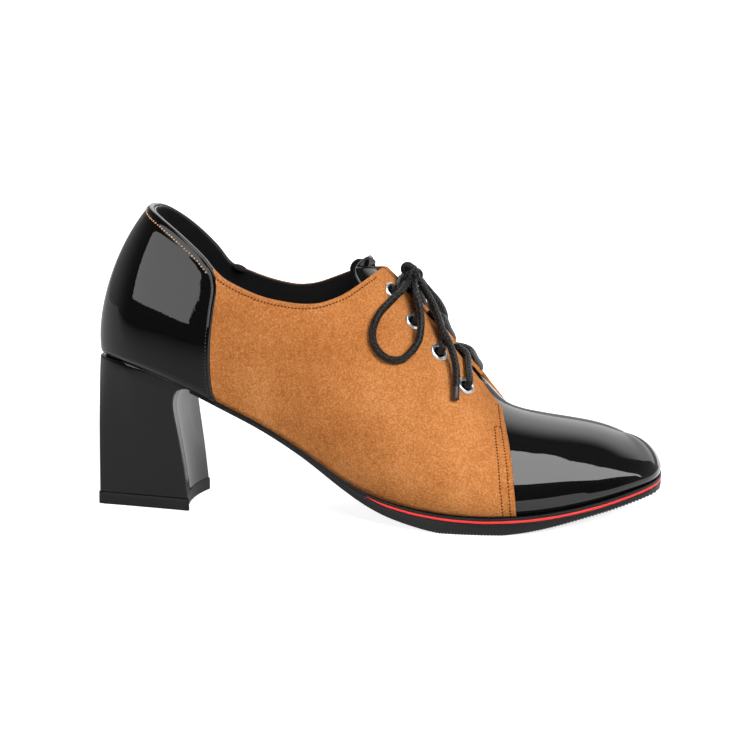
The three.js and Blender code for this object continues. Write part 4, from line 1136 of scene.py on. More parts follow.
@dataclass
class Counter:
    """Patent counter round the heel, with a rolled edge."""

    rows: int = 48
    columns: int = 60
    edge: float = 1.15

    def sewn(self, side: Side, edges: Edges, lift: float) -> tuple[Array, Array]:
        """Its sewn rows: along the topline, closer to it at the back, and along the front edge.

        Args:
            side: side of the foot.
            edges: its border lines there.
            lift: how far the rows stand off the last.

        Returns:
            Both rows.
        """
        inside = LAST.point(side, 1.5, 0.5)
        from_back = np.linalg.norm(edges.top - edges.top[0], axis=1)
        distance = np.interp(from_back, *COUNTER_TOP_ROW)
        top = sewn_line(edges.top, edges.top_normal, distance, inside, lift)
        return top, sewn_line(edges.front, edges.front_normal, COUNTER_EDGE_ROW, inside, lift)

    def build(self, patent: Material) -> tuple[Object, dict[Side, Edges]]:
        """Builds the counter.

        Args:
            patent: its finish.

        Returns:
            The piece and its border lines by side.
        """
        share = edge_shares(self.rows, 62.0)
        reach = edge_shares(self.columns, 60.0)
        grids, normals = {}, {}
        for side in Side:
            line = counter_edge_x(side)
            front = row_on_line(side, share, line, 1.0, LAST.corner_row(side) - 0.2)
            row = front[None, :] * reach[:, None] ** 0.94
            up = share[None, :] * LAST.wall_top(side, row)
            grids[side], normals[side] = LAST.point(side, row, up), LAST.normal(side, row, up)
        grid = np.concatenate([grids[Side.OUTER][::-1], grids[Side.INNER][1:]])
        normal = np.concatenate([normals[Side.OUTER][::-1], normals[Side.INNER][1:]])
        skin = Skin("counter_patent", COUNTER_LOW, GAP + COUNTER_THICKNESS, self.edge)
        lines = [grid[:, -1], grid[0], grid[-1]]
        edges, channels = {}, []
        for side in Side:
            points, ways = grids[side], normals[side]
            edges[side] = Edges(points[:, -1], ways[:, -1], points[-1], ways[-1])
            top, front = self.sewn(side, edges[side], 0.0)
            channels += [(top, 0.2, 0.45), (front, 0.16, 0.4)]
        piece = skin.build(grid, normal, lines, channels, [patent])
        settle(piece, "patent", "counter")
        return piece, edges


@dataclass
class SeamFold:
    """The lining seam's end at the inner side's counter corner: a soft fold over the rim."""

    row: float = 0.2
    size: Spot = (7.0, 4.8, 3.0)

    def build(self, edges: Edges, lining: Material) -> None:
        """Builds the fold.

        Args:
            edges: the counter's border lines on the inner side.
            lining: its finish.
        """
        deselect()
        bpy.ops.mesh.primitive_uv_sphere_add(segments=32, ring_count=20, radius=0.5)
        piece = bpy.context.active_object
        piece.name = "lining_seam_fold"
        at, outward = edges.top[-1], edges.top_normal[-1]
        along = unit(edges.top[-1] - edges.top[-6])
        high = unit(np.cross(along, outward))
        high = high if high[2] > 0 else -high
        frame = np.stack([along, outward, high], 1) * np.array(self.size) * MM
        turn = Matrix(frame.tolist()).to_4x4()
        middle = at - outward * 1.2 - high * 0.3 + along * self.row
        piece.data.transform(turn)
        piece.data.transform(Matrix.Translation(Vector(middle) * MM))
        piece.data.materials.append(lining)
        edit(lambda: bpy.ops.mesh.normals_make_consistent(inside=False))
        bpy.ops.object.shade_smooth()
        settle(piece, "lining")


@dataclass
class Tongue:
    """Patent tongue under the facings, its free top standing up over them."""

    columns: int = 70
    rows: int = 48
    lean: float = 1.1
    edge: float = 0.75

    def point(self, station: Array, share: Array, across: Array) -> tuple[Array, Array]:
        """Points of its outer face and their normals.

        Args:
            station: stations along it.
            share: shares of its length.
            across: from -1 on the outer side to 1 on the inner side.

        Returns:
            Points and normals.
        """
        first, lift_at = follow(TONGUE, 1), follow(TONGUE, 2)
        points, normals = np.empty(station.shape + (3,)), np.empty(station.shape + (3,))
        for side in Side:
            own = across < 0 if side is Side.OUTER else across >= 0
            s, distance = station[own], BALL_WIDTH * first(station[own]) * np.abs(across[own])
            straight = LAST.row_at(s)
            up = LAST.up_near_crest(side, straight, distance)
            drop = LAST.rib(side, straight)[1][..., 2] - LAST.point(side, straight, up)[..., 2]
            row = LAST.row_at(s - self.lean * (1 - share[own]) * drop / LAST_LENGTH)
            wall = LAST.point(side, row, LAST.wall_top(side, row))
            free = np.abs(wall[..., 1] - LAST.rib(side, row)[1][..., 1])
            clear = np.clip((free - distance) / TONGUE_EASE - 1.7, 0, 1)
            up = np.where(distance < 1e-6, 1.0, LAST.up_near_crest(side, row, distance))
            out = -WALL - TONGUE_CLEARANCE + TONGUE_RISE * lift_at(s) * clear
            normals[own] = LAST.normal(side, row, up)
            points[own] = LAST.point(side, row, up) + normals[own] * out[:, None]
        return points, normals

    def build(self, patent: Material, lining: Material) -> Object:
        """Builds the tongue.

        Args:
            patent: finish of its face.
            lining: finish of its back.

        Returns:
            The piece.
        """
        first, last = TONGUE[0, 0], TONGUE[-1, 0]
        share = steps(self.columns)[:, None] ** 1.6
        wide = edge_shares(self.rows // 2, 14.0)
        across = np.concatenate([-wide[:0:-1], wide])[None, :]
        share, across = np.broadcast_arrays(share, across)
        grid, normal = self.point(first + share * (last - first), share, across)
        edges = [grid[:, 0], grid[:, -1], grid[0]]
        border = np.concatenate([grid[::-1, 0], grid[0, 1:-1], grid[:, -1]])
        border_normal = np.concatenate([normal[::-1, 0], normal[0, 1:-1], normal[:, -1]])
        hem = sewn_line(border, border_normal, 2.6, grid[len(grid) // 3, grid.shape[1] // 2])
        distance = np.minimum.reduce([to_line(grid, line) for line in edges])
        half = TONGUE_THICKNESS / 2 * rounding(distance, self.edge)
        dip = 0.3 * np.exp(-((to_line(grid, hem) / 0.55) ** 2))
        outer = grid + normal * (half - TONGUE_THICKNESS / 2 - dip)[..., None]
        inner = grid - normal * (half + TONGUE_THICKNESS / 2)[..., None]
        piece = as_object("tongue_patent", shell(outer, inner, inner_finish=1), [patent, lining])
        return settle(piece, "patent", "tongue")


@dataclass
class Plate:
    """One layer of the sole: a sheet between two heights, inside an outline round the feather line.

    Attributes:
        name: the piece's name.
        node: CAD node that it stands for.
        slot: material slot.
        top: height of its top as a function of X.
        bottom: height of its underside as a function of X.
        start: station of its straight back edge, or 0 for a whole outline.
        welt: share of the welt that it stands out by.
        more: how far it stands out more, in millimetres.
        edge: radius of its rounded edge.
        columns: points along it.
    """

    name: str
    node: str
    slot: str
    top: Line
    bottom: Line
    start: float = 0.0
    welt: float = 1.0
    more: float = 0.0
    edge: float = 0.25
    columns: int = 150

    def outline(self, side: Side, row: Array) -> Array:
        """Points of its border."""
        foot = LAST.rib(side, row)[0]
        out = self.welt * BALL_WIDTH * LAST.welt(row) + self.more
        return foot + LAST.normal(side, row, np.zeros_like(row)) * out[..., None]

    def first_row(self) -> float:
        """Row of its straight back edge."""
        most = np.full(1, float(MOST_ROW))
        return float(bisect(np.zeros(1), most, lambda row: LAST.station(row) - self.start)[0])

    def rows(self) -> Array:
        """Rows of its columns, from its back edge to the toe, closer together at both ends."""
        share = steps(self.columns)
        share = share - 0.012 * np.sin(2 * math.pi * share)
        first = self.first_row() if self.start else 0.0
        return first + (MOST_ROW - first) * share

    def across(self) -> Array:
        """Shares across it, closer together at its edges."""
        near = np.array([0.0, 0.0012, 0.004, 0.009, 0.018, 0.04])
        return np.concatenate([near, np.linspace(0.08, 0.92, 15), 1 - near[::-1]])

    def relief(self, grid: Array) -> Array:
        """How far the underside is cut up, at each point."""
        return np.zeros(grid.shape[:2])

    def build(self, finish: Material) -> Object:
        """Builds the layer in its finish."""
        rows = self.rows()
        outer, inner = (self.outline(side, rows) for side in Side)
        share = self.across()[None, :, None]
        grid = outer[:, None] * (1 - share) + inner[:, None] * share
        lines = [outer, inner] + ([np.stack([outer[0], inner[0]])] if self.start else [])
        level = grid * [1, 1, 0]
        distance = np.minimum.reduce([to_line(level, line * [1, 1, 0]) for line in lines])
        high, low = self.top(grid[..., 0]), self.bottom(grid[..., 0])
        radius = np.minimum(self.edge, (high - low) / 2)
        round_off = (1 - rounding(distance, self.edge)) * radius
        top, bottom = grid.copy(), grid.copy()
        top[..., 2] = high - round_off
        cut = low + round_off + self.relief(grid)
        bottom[..., 2] = np.minimum(cut, high - round_off - THINNEST)
        piece = as_object(self.name, shell(top, bottom), [finish])
        return settle(piece, self.slot, self.node)


@dataclass
class Outsole(Plate):
    """The outsole, with ribs cut across the forefoot's underside that show as a serrated lower edge."""

    pitch: float = 1.35
    depth: float = 0.55

    def rows(self) -> Array:
        """Rows close enough together for the ribs, from the breast to the toe."""
        even = np.linspace(self.first_row(), float(MOST_ROW), 2400)
        middle = (self.outline(Side.OUTER, even) + self.outline(Side.INNER, even)) / 2
        along = run_of(middle)
        spots = np.linspace(0, along[-1], int(along[-1] / 0.24))
        return np.interp(spots, along, even)

    def relief(self, grid: Array) -> Array:
        """Grooves between the ribs, over the forefoot only, and shallower behind the ball."""
        share = (grid[..., 0] / self.pitch) % 1.0
        groove = np.clip(1 - np.abs(share - 0.5) / 0.3, 0, 1)
        station = LAST.station_of(grid[..., 0])
        over = np.clip((station - 0.60) / 0.02, 0, 1) * np.clip((1.02 - station) / 0.02, 0, 1)
        deep = np.interp(station, [0.78, 0.86], [0.35, 1.0])
        return self.depth * np.clip(groove * 1.5, 0, 1) * over * deep


def midsole_bottom(x: Array) -> Array:
    """Height of the midsole's underside."""
    return LAST.feather_z(x) - SEAT_GAP - MIDSOLE_THICKNESS


def stripe_bottom(x: Array) -> Array:
    """Height of the stripe's underside."""
    grown = np.clip((LAST.station_of(x) - STRIPE_START) / STRIPE_TAPER, 0, 1)
    return midsole_bottom(x) - 0.25 - STRIPE_THICKNESS * (0.12 + 0.88 * grown)


def outsole_top(x: Array) -> Array:
    """Height of the outsole's top."""
    behind = LAST.station_of(x) < STRIPE_START - 1e-3
    return np.where(behind, midsole_bottom(x), stripe_bottom(x)) - GLUE_LINE


def outsole_bottom(x: Array) -> Array:
    """Height of the outsole's underside."""
    under = OUTSOLE_THICKNESS + STRIPE_THICKNESS + 2 * GAP
    return np.maximum(0.0, midsole_bottom(x) - under * follow(WAIST, 1)(LAST.station_of(x)))


@dataclass
class Heel:
    """Covered block heel, and the tip under it."""

    levels: int = 40
    side_points: int = 60
    corner: float = 1.3
    cover_edge: float = 1.9

    def outline(self, back_x: float, front_x: float, width: float, hollow: float, seat: float) -> Array:
        """Level outline: a D with a hollowed front and rounded front corners.

        Args:
            back_x: X of its back.
            front_x: X of its front corners.
            width: width at the front.
            hollow: how far the front is hollowed.
            seat: share of the way from the tip's plan to that of the top.

        Returns:
            Closed ring of points, X and Y.
        """
        half = width / 2
        last = len(HEEL_PLAN) - 1
        row = steps(self.side_points) * last
        along, tip, top = (
            through(HEEL_PLAN[:, k], HEEL_PLAN[0, k], sign * HEEL_PLAN[-2, k])(row)
            for k, sign in enumerate((1, -1, -1))
        )
        side = np.stack([front_x + along * (back_x - front_x), half * (tip + seat * (top - tip))], 1)
        y = np.linspace(0, half, 40)
        front = np.stack([front_x - hollow * (1 - (y / half) ** 2), y], 1)
        path = np.concatenate([front, side[1:]])
        line = np.column_stack([path, np.zeros(len(path))])
        along = run_of(line)
        at_corner = along[len(front) - 1]

        def at(run: Array) -> Array:
            """Points of the half outline at these distances along it."""
            return np.stack([np.interp(run, along, path[:, k]) for k in (0, 1)], 1)

        start, end = at_corner - self.corner, at_corner + self.corner
        bend = steps(8)[:, None]
        ends = at(np.array([start, at_corner, end]))
        arc = (1 - bend) ** 2 * ends[0] + 2 * bend * (1 - bend) * ends[1] + bend**2 * ends[2]
        before = np.linspace(0, start, 26)
        first, rest = at(before), at(end + (along[-1] - end) * steps(self.side_points))
        groove = at_corner - self.cover_edge
        first[:, 0] -= 0.16 * np.exp(-(((before - groove) / 0.3) ** 2)) * (1.0 if hollow else 0.0)
        half_ring = np.concatenate([first, arc[1:], rest[1:]])
        return np.concatenate([half_ring, (half_ring * [1, -1])[-2:0:-1]])

    def solid(self, name: str, rings: Array, finish: Material, bevel: float) -> Object:
        """Closed form through rings, its two rims bevelled.

        Args:
            name: the piece's name.
            rings: levels by points by 3.
            finish: its finish.
            bevel: width of the rims' bevel.

        Returns:
            The piece.
        """
        centre = np.broadcast_to(rings.mean(1, keepdims=True), rings.shape)
        grid, core = rings.transpose(1, 0, 2), centre.transpose(1, 0, 2)
        piece = as_object(name, shell(grid, core, wrap=True), [finish])
        rounded(piece, bevel, 3, 50)
        return piece

    def build(self, patent: Material, rubber: Material) -> None:
        """Builds the heel and its tip.

        Args:
            patent: finish of the cover.
            rubber: finish of the tip.
        """
        bottom = TIP_THICKNESS + 0.04
        breast_reach = TIP_LENGTH / 2 - TIP_OVERHANG
        columns = [follow(HEEL_LEVELS, k) for k in (1, 2, 3)]
        rings = []
        for rise in steps(self.levels):
            breast, back, seat = (float(column(np.array(rise))) for column in columns)
            back_x = -TIP_LENGTH / 2 + TIP_OVERHANG + back * TIP_LENGTH
            front_x = breast_reach + breast * (HEEL_BREAST_REACH - breast_reach)
            low_width = TIP_WIDTH - 2 * TIP_OVERHANG
            across = low_width + seat * (HEEL_TOP_WIDTH - low_width)
            ring = self.outline(back_x, front_x, across, BREAST_HOLLOW * (1 - rise**6), seat)
            top = midsole_bottom(ring[:, 0]) - 0.04
            rings.append(np.column_stack([ring, bottom + rise * (top - bottom)]))
        settle(self.solid("heel_block", np.array(rings), patent, 0.35), "patent", "heel")
        tip = self.outline(-TIP_LENGTH / 2, TIP_LENGTH / 2, TIP_WIDTH, BREAST_HOLLOW, 0.0)
        levels = [np.column_stack([tip, np.full(len(tip), z)]) for z in (0.0, 1.5, 3.5, TIP_THICKNESS)]
        settle(self.solid("heel_top_piece", np.array(levels), rubber, 0.3), "rubber", "heel_tip")


@dataclass
class Eyelets:
    """Nickel eyelets: one turned profile, spun once and put at every place."""

    hole: float = EYELET_HOLE_RADIUS + 0.1
    barrel: float = EYELET_HOLE_RADIUS + 0.4
    flange: float = EYELET_FLANGE_RADIUS + 0.25
    height: float = 0.8
    sides: int = 48

    def model(self) -> bpy.types.Mesh:
        """Mesh of one eyelet, its profile spun round Z."""
        under = QUARTER_TOP + 0.02
        crown = [
            (
                (self.hole + self.flange) / 2 - math.cos(angle) * (self.flange - self.hole) / 2,
                under + math.sin(angle) * self.height,
            )
            for angle in np.linspace(0, math.pi, 11)
        ]
        profile = [(self.hole, -WALL - GAP), *crown, (self.barrel, under), (self.barrel, -WALL - GAP)]
        mesh = bpy.data.meshes.new("eyelet")
        count = len(profile)
        sides = [(k, (k + 1) % count) for k in range(count)]
        mesh.from_pydata([(r * MM, 0, z * MM) for r, z in profile], sides, [])
        piece = linked("eyelet", mesh)
        make_active(piece)
        turn = 2 * math.pi
        edit(
            lambda: bpy.ops.mesh.spin(steps=self.sides, angle=turn, center=(0, 0, 0), axis=(0, 0, 1)),
            lambda: bpy.ops.mesh.remove_doubles(threshold=1e-6),
            lambda: bpy.ops.mesh.normals_make_consistent(inside=False),
        )
        bpy.ops.object.shade_smooth_by_angle(angle=math.radians(50))
        found = piece.data
        bpy.data.objects.remove(piece)
        return found

    def build(self, places: list[EyeletPlace], nickel: Material) -> None:
        """Puts an eyelet at each place.

        Args:
            places: the eyelets' places.
            nickel: their finish.
        """
        model = self.model()
        for place in places:
            mesh = model.copy()
            place.put(mesh)
            mesh.materials.clear()
            mesh.materials.append(nickel)
            name = f"{place.side.name.lower()}_{place.number}"
            settle(linked(f"eyelet_ring_{name}", mesh), "nickel", f"eyelet_{name}")


# Lace


def lace_point(side: Side, station: Array, up: Array, clear: Array) -> Array:
    """Middle of the lace where it runs this far clear of the suede."""
    return LAST.offset(side, LAST.row_at(station), up, ON_SUEDE + clear)


def tube(path: Array, radius: float, sides: int, ends: int = 4) -> tuple[Body, Array]:
    """Round tube with domed ends, and its UVs: round it in turns, along it in millimetres.

    Args:
        path: centreline, evenly spaced.
        radius: its radius.
        sides: points round it.
        ends: rings of each domed end.

    Returns:
        The form and a UV for each of its points.
    """
    along = unit(np.gradient(path, axis=0))
    frames = [unit(np.cross(along[0], np.array([0.31, 0.52, 0.79])))]
    for k in range(1, len(path)):
        frames.append(unit(frames[-1] - along[k] * (frames[-1] @ along[k])))
    across = np.array(frames)
    other = np.cross(along, across)
    length = run_of(path)
    dome = np.linspace(0, math.pi / 2, ends + 1)[:-1]
    round_off = 0.45
    size = np.concatenate([np.sin(dome + 0.02), np.ones(len(path)), np.sin(dome + 0.02)[::-1]]) * radius
    back = path[0] - along[0] * (np.cos(dome) * radius * round_off)[:, None]
    front = path[-1] + along[-1] * (np.cos(dome) * radius * round_off)[::-1, None]
    middle = np.concatenate([back, path, front])
    at = np.concatenate([np.full(ends, 0.0), length, np.full(ends, length[-1])])
    repeat = [0] * ends + list(range(len(path))) + [len(path) - 1] * ends
    turn = 2 * math.pi * np.arange(sides) / sides
    ring = across[repeat][:, None] * np.cos(turn)[:, None]
    ring = ring + other[repeat][:, None] * np.sin(turn)[:, None]
    grid = (middle[:, None] + ring * size[:, None, None]).transpose(1, 0, 2)
    rows = grid.shape[1]
    side_faces = grid_faces(sides, rows, True)
    caps = ([k * rows for k in range(sides)], [k * rows + rows - 1 for k in range(sides)][::-1])
    uv = np.stack([np.repeat(np.arange(sides) / sides, rows), np.tile(at, sides)], 1)
    return Body(grid.reshape(-1, 3), side_faces, np.zeros(len(side_faces), int), caps), uv


@dataclass
class Lace:
    """Waxed round lace: the bars through the eyelets, the knot, the bow's loops and the ends."""

    radius: float = LACE_DIAMETER / 2 + 0.06
    sides: int = 20
    step: float = 0.5
    depth: float = 2.4
    rise: float = 4.0
    arch: float = 1.2
    edge_at: float = 0.55
    dip: float = 1.6
    knot: Spot = (0.5318, 0.965, 5.1)
    sealed: float = 5.5

    def piece(
        self, name: str, paths: list[Array], finishes: list[Material], sealed: bool = False
    ) -> Object:
        """Tubes along paths as one piece with UVs.

        Args:
            name: the piece's name.
            paths: centrelines.
            finishes: the lace's finish, then that of a sealed end.
            sealed: whether its last millimetres are heat-sealed.

        Returns:
            The piece.
        """
        work = bmesh.new()
        layer = work.loops.layers.uv.new("UVMap")
        for path in paths:
            form, uv = tube(path, self.radius, self.sides)
            verts = [work.verts.new(point * MM) for point in form.points]
            end = uv[:, 1].max()
            for ring in [*form.faces.tolist(), *form.caps]:
                face = work.faces.new([verts[k] for k in ring])
                face.smooth = True
                turns = uv[list(ring), 0]
                wraps = turns.max() - turns.min() > 0.5
                for loop, k in zip(face.loops, ring, strict=True):
                    u = uv[k, 0] + (1.0 if wraps and uv[k, 0] < 0.5 and len(ring) == 4 else 0.0)
                    loop[layer].uv = (u, uv[k, 1])
                if sealed and uv[list(ring), 1].min() > end - self.sealed:
                    face.material_index = 1
        bmesh.ops.recalc_face_normals(work, faces=work.faces)
        mesh = bpy.data.meshes.new(name)
        work.to_mesh(mesh)
        work.free()
        for finish in finishes:
            mesh.materials.append(finish)
        return linked(name, mesh)

    def bar(self, number: int, places: list[EyeletPlace]) -> Array:
        """Centreline of both strands of one pair of eyelets.

        Args:
            number: number of the pair, from the top.
            places: the eyelets' places.

        Returns:
            Points from the outer eyelet to the inner one.
        """
        station, _, meet = EYELETS[number - 1]
        halves = []
        for place in (p for p in places if p.number == number):
            middle, facing = np.array(place.middle), np.array(place.facing)
            row = LAST.row_at(np.array([station + self.edge_at * (meet - station)]))
            up = LAST.facing_up(place.side, row)
            edge, edge_facing = LAST.point(place.side, row, up)[0], LAST.normal(place.side, row, up)[0]
            above = unit(facing + edge_facing)
            over = middle + 0.45 * (edge - middle) + above * (ON_SUEDE + self.arch)
            halves.append(
                [
                    middle - facing * self.depth,
                    middle - facing,
                    middle + facing * self.rise,
                    over,
                    edge + edge_facing * (ON_SUEDE + 2 * GAP),
                ]
            )
        row = LAST.row_at(np.array([meet]))
        near, far = (LAST.point(side, row, LAST.facing_up(side, row))[0] for side in Side)
        middle = (near + far) / 2 + LAST.normal(Side.OUTER, row, np.ones(1))[0] * self.dip
        return smooth_line(np.array([*halves[0], middle, *halves[1][::-1]]), self.step)

    def route(self, side: Side, rows: Array, start: Spot, end: Spot | None) -> Array:
        """Centreline along a route, tucked into the knot.

        Args:
            side: side of the foot.
            rows: the route's stations, ups and clears.
            start: where it comes out of the knot.
            end: where it goes back into the knot, if it does.

        Returns:
            The centreline.
        """
        parts = [self.in_knot(start), lace_point(side, rows[:, 0], rows[:, 1], rows[:, 2])]
        if end:
            parts.append(self.in_knot(end))
        return smooth_line(np.concatenate(parts), self.step)

    def in_knot(self, *points: Spot) -> Array:
        """Points given along, across and high of the knot's middle."""
        station, up, clear = (np.array([value]) for value in self.knot)
        centre = lace_point(Side.OUTER, station, up, clear)[0]
        high = LAST.normal(Side.OUTER, LAST.row_at(station), np.ones(1))[0]
        across = np.array([0.0, 1.0, 0.0])
        along = unit(np.cross(across, high))
        return np.array([centre + along * a + across * c + high * h for a, c, h in points])

    def knot_paths(self) -> list[Array]:
        """Turns that make the knot."""
        turn = np.linspace(-0.35 * math.pi, 1.45 * math.pi, 15)
        cos, sin = math.cos, math.sin
        first = [(1.7 * cos(t) - 2.0, -1.3 - 0.5 * sin(t), 1.7 * sin(t) + 0.1) for t in turn]
        second = [
            (1.8 * cos(t + 0.5) + 1.9, 0.6 + 0.5 * cos(t), 1.8 * sin(t + 0.5) + 0.2) for t in turn
        ]
        over = [
            (-3.4, 1.4, -0.8), (-2.2, -0.6, 1.3), (-0.2, -1.6, 2.0), (2.0, -1.9, 1.3), (3.3, -2.2, -0.6),
            (3.2, -2.6, -2.4),
        ]
        front = [
            (-0.6, 1.6, 1.2), (-0.5, -0.8, 1.9), (-0.3, -2.6, 0.7), (-0.1, -3.4, -1.4), (0.2, -3.3, -3.4),
        ]
        turns = (first, second, over, front)
        return [smooth_line(self.in_knot(*points), self.step) for points in turns]

    def build(self, places: list[EyeletPlace], cord: Material, sealed: Material) -> None:
        """Builds every part of the lace.

        Args:
            places: the eyelets' places.
            cord: the lace's finish.
            sealed: finish of the heat-sealed end.
        """
        for number in range(1, len(EYELETS) + 1):
            piece = self.piece(f"lace_strand_{number}", [self.bar(number, places)], [cord])
            settle(piece, "cord", f"lace_bar_{number}")
        knot = settle(self.piece("lace_bow_knot", self.knot_paths(), [cord]), "cord", "lace_knot")
        routes = {
            "loop_outer": (Side.OUTER, LOOP_OUTER, (1.4, -1.6, -1.0), (2.0, -1.2, -0.4), "object"),
            "loop_inner": (Side.INNER, LOOP_INNER, (0.6, 1.6, -1.0), (1.4, 1.4, -0.6), "object"),
            "end_outer": (Side.OUTER, END_OUTER, (1.2, -1.0, 0.2), None, "bare"),
            "end_inner": (Side.INNER, END_INNER, (1.0, 0.6, -0.4), None, "bare"),
        }
        for name, (side, rows, start, end, far_end) in routes.items():
            path = self.route(side, rows, start, end)
            piece = self.piece(f"lace_bow_{name}", [path], [cord, sealed], sealed=far_end == "bare")
            settle(piece, "cord", f"lace_{name}")


# Finishes


BLACK = (0.0, 0.0, 0.0, 1.0)
WHITE = (1.0, 1.0, 1.0, 1.0)


def srgb(code: str) -> tuple[float, ...]:
    """Linear colour of an sRGB hex code, with alpha 1."""
    parts = [int(code[k : k + 2], 16) / 255 for k in (1, 3, 5)]
    red, green, blue = ((c / 12.92) if c <= 0.04045 else ((c + 0.055) / 1.055) ** 2.4 for c in parts)
    return red, green, blue, 1.0


def add(
    tree: Tree,
    kind: str,
    inputs: dict[str | int, object] | None = None,
    stops: tuple[tuple[float, tuple[float, ...]], ...] = (),
    to: tuple[Socket, ...] = (),
    **settings: object,
) -> bpy.types.Node:
    """Adds a node.

    Args:
        tree: the tree that it goes into.
        kind: the node's type, without the words that all types start with.
        inputs: a value or another node's output socket for each named or numbered input.
        stops: positions of a colour ramp with their colours.
        to: sockets that its first output goes to.
        settings: the node's own properties.

    Returns:
        The node.
    """
    node = tree.nodes.new(f"ShaderNode{kind}")
    for name, value in settings.items():
        setattr(node, name, value)
    for position, _ in stops[2:]:
        node.color_ramp.elements.new(position)
    for k, (position, colour) in enumerate(stops):
        node.color_ramp.elements[k].position = position
        node.color_ramp.elements[k].color = colour
    for name, value in (inputs or {}).items():
        if isinstance(value, Socket):
            tree.links.new(value, node.inputs[name])
        else:
            node.inputs[name].default_value = value
    for socket in to:
        tree.links.new(node.outputs[0], socket)
    return node


def new_material(name: str, surface: dict[str, object]) -> tuple[Material, Tree, bpy.types.Node]:
    """A material with a Principled shader.

    Args:
        name: its name.
        surface: values of the shader's sockets.

    Returns:
        The material, its tree and the shader.
    """
    material = bpy.data.materials.new(name)
    material.use_nodes = True
    tree = material.node_tree
    shader = tree.nodes["Principled BSDF"]
    for socket, value in surface.items():
        shader.inputs[socket].default_value = value
    return material, tree, shader


def object_noise(tree: Tree, size: float, detail: float = 2.0, rough: float = 0.5) -> Socket:
    """Noise whose patches measure about size millimetres on the real shoe."""
    place = add(tree, "TexCoord").outputs["Object"]
    inputs = {"Vector": place, "Scale": 1000 / size, "Detail": detail, "Roughness": rough}
    return add(tree, "TexNoise", inputs).outputs["Fac"]


@dataclass(frozen=True)
class Patent:
    """Patent leather: a near-black hide under a clear, hard film that mirrors the room.

    The film is pulled over board and stiffener, so that straight reflections sway a little over
    20 to 40 mm, and carry the faintest ripple of the hide below.
    """

    name: str
    colour: str = "#09090A"
    sway: float = 0.0003
    ripple: float = 0.000008

    def material(self) -> Material:
        """The Blender material."""
        surface = {
            "Base Color": srgb(self.colour),
            "Roughness": 0.5,
            "Specular IOR Level": 0.02,
            "Coat Weight": 1.0,
            "Coat Roughness": 0.012,
            "Coat IOR": 1.5,
        }
        material, tree, shader = new_material(self.name, surface)
        film = {"Height": object_noise(tree, 32.0, 1.0), "Distance": self.sway}
        slow = add(tree, "Bump", film).outputs["Normal"]
        hide = {"Height": object_noise(tree, 1.6, 2.0), "Distance": self.ripple, "Normal": slow}
        add(tree, "Bump", hide, to=(shader.inputs["Normal"], shader.inputs["Coat Normal"]))
        return material


@dataclass(frozen=True)
class Suede:
    """Tan suede: short nap, brushed lighter and darker in blotches, with darker pores in it."""

    name: str
    light: str = "#D89358"
    middle: str = "#C27B42"
    dark: str = "#A5622F"
    pore: str = "#8C5126"

    def material(self) -> Material:
        """The Blender material."""
        surface = {
            "Roughness": 0.95,
            "Specular IOR Level": 0.15,
            "Sheen Weight": 0.12,
            "Sheen Roughness": 0.45,
            "Sheen Tint": srgb("#E9B27C"),
        }
        material, tree, shader = new_material(self.name, surface)
        brushed = object_noise(tree, 30.0, 3.0, 0.55)
        mottled = object_noise(tree, 2.4, 2.0, 0.6)
        nap = object_noise(tree, 0.75, 1.0, 0.6)
        both = add(tree, "Mix", {"Factor": 0.3, "A": brushed, "B": mottled}, data_type="FLOAT")
        tone = add(tree, "Mix", {"Factor": 0.45, "A": both.outputs[0], "B": nap}, data_type="FLOAT")
        stops = ((0.36, srgb(self.dark)), (0.5, srgb(self.middle)), (0.64, srgb(self.light)))
        ground = add(tree, "ValToRGB", {"Fac": tone.outputs[0]}, stops).outputs["Color"]
        speckles = object_noise(tree, 0.8, 1.0)
        dots = add(tree, "ValToRGB", {"Fac": speckles}, ((0.68, BLACK), (0.84, WHITE))).outputs["Color"]
        mixed = add(tree, "Mix", {"Factor": dots, 6: ground, 7: srgb(self.pore)}, data_type="RGBA")
        tree.links.new(mixed.outputs[2], shader.inputs["Base Color"])
        relief = {"Height": nap, "Distance": 0.22 * MM, "Strength": 0.9}
        add(tree, "Bump", relief, to=(shader.inputs["Normal"],))
        return material


@dataclass(frozen=True)
class Plain:
    """A material of one colour with a fine grain: rubber, lining, stripe or thread.

    Attributes:
        name: the material's name.
        colour: its colour.
        roughness: roughness of its surface.
        grain: size of its grain, in millimetres, or 0.
        depth: depth of the grain, in millimetres.
        specular: how much it mirrors.
    """

    name: str
    colour: str
    roughness: float
    grain: float = 0.0
    depth: float = 0.0
    specular: float = 0.5

    def material(self) -> Material:
        """The Blender material."""
        surface = {
            "Base Color": srgb(self.colour),
            "Roughness": self.roughness,
            "Specular IOR Level": self.specular,
        }
        material, tree, shader = new_material(self.name, surface)
        if self.grain:
            relief = {"Height": object_noise(tree, self.grain, 3.0, 0.6), "Distance": self.depth * MM}
            add(tree, "Bump", relief, to=(shader.inputs["Normal"],))
        return material


@dataclass(frozen=True)
class Nickel:
    """Polished nickel: bright, slightly warm metal with fine polishing marks."""

    name: str
    colour: str = "#E6E5E2"

    def material(self) -> Material:
        """The Blender material."""
        surface = {"Base Color": srgb(self.colour), "Metallic": 1.0, "Roughness": 0.28}
        material, tree, shader = new_material(self.name, surface)
        marks = {"Height": object_noise(tree, 0.5), "Distance": 0.01 * MM}
        add(tree, "Bump", marks, to=(shader.inputs["Normal"],))
        return material


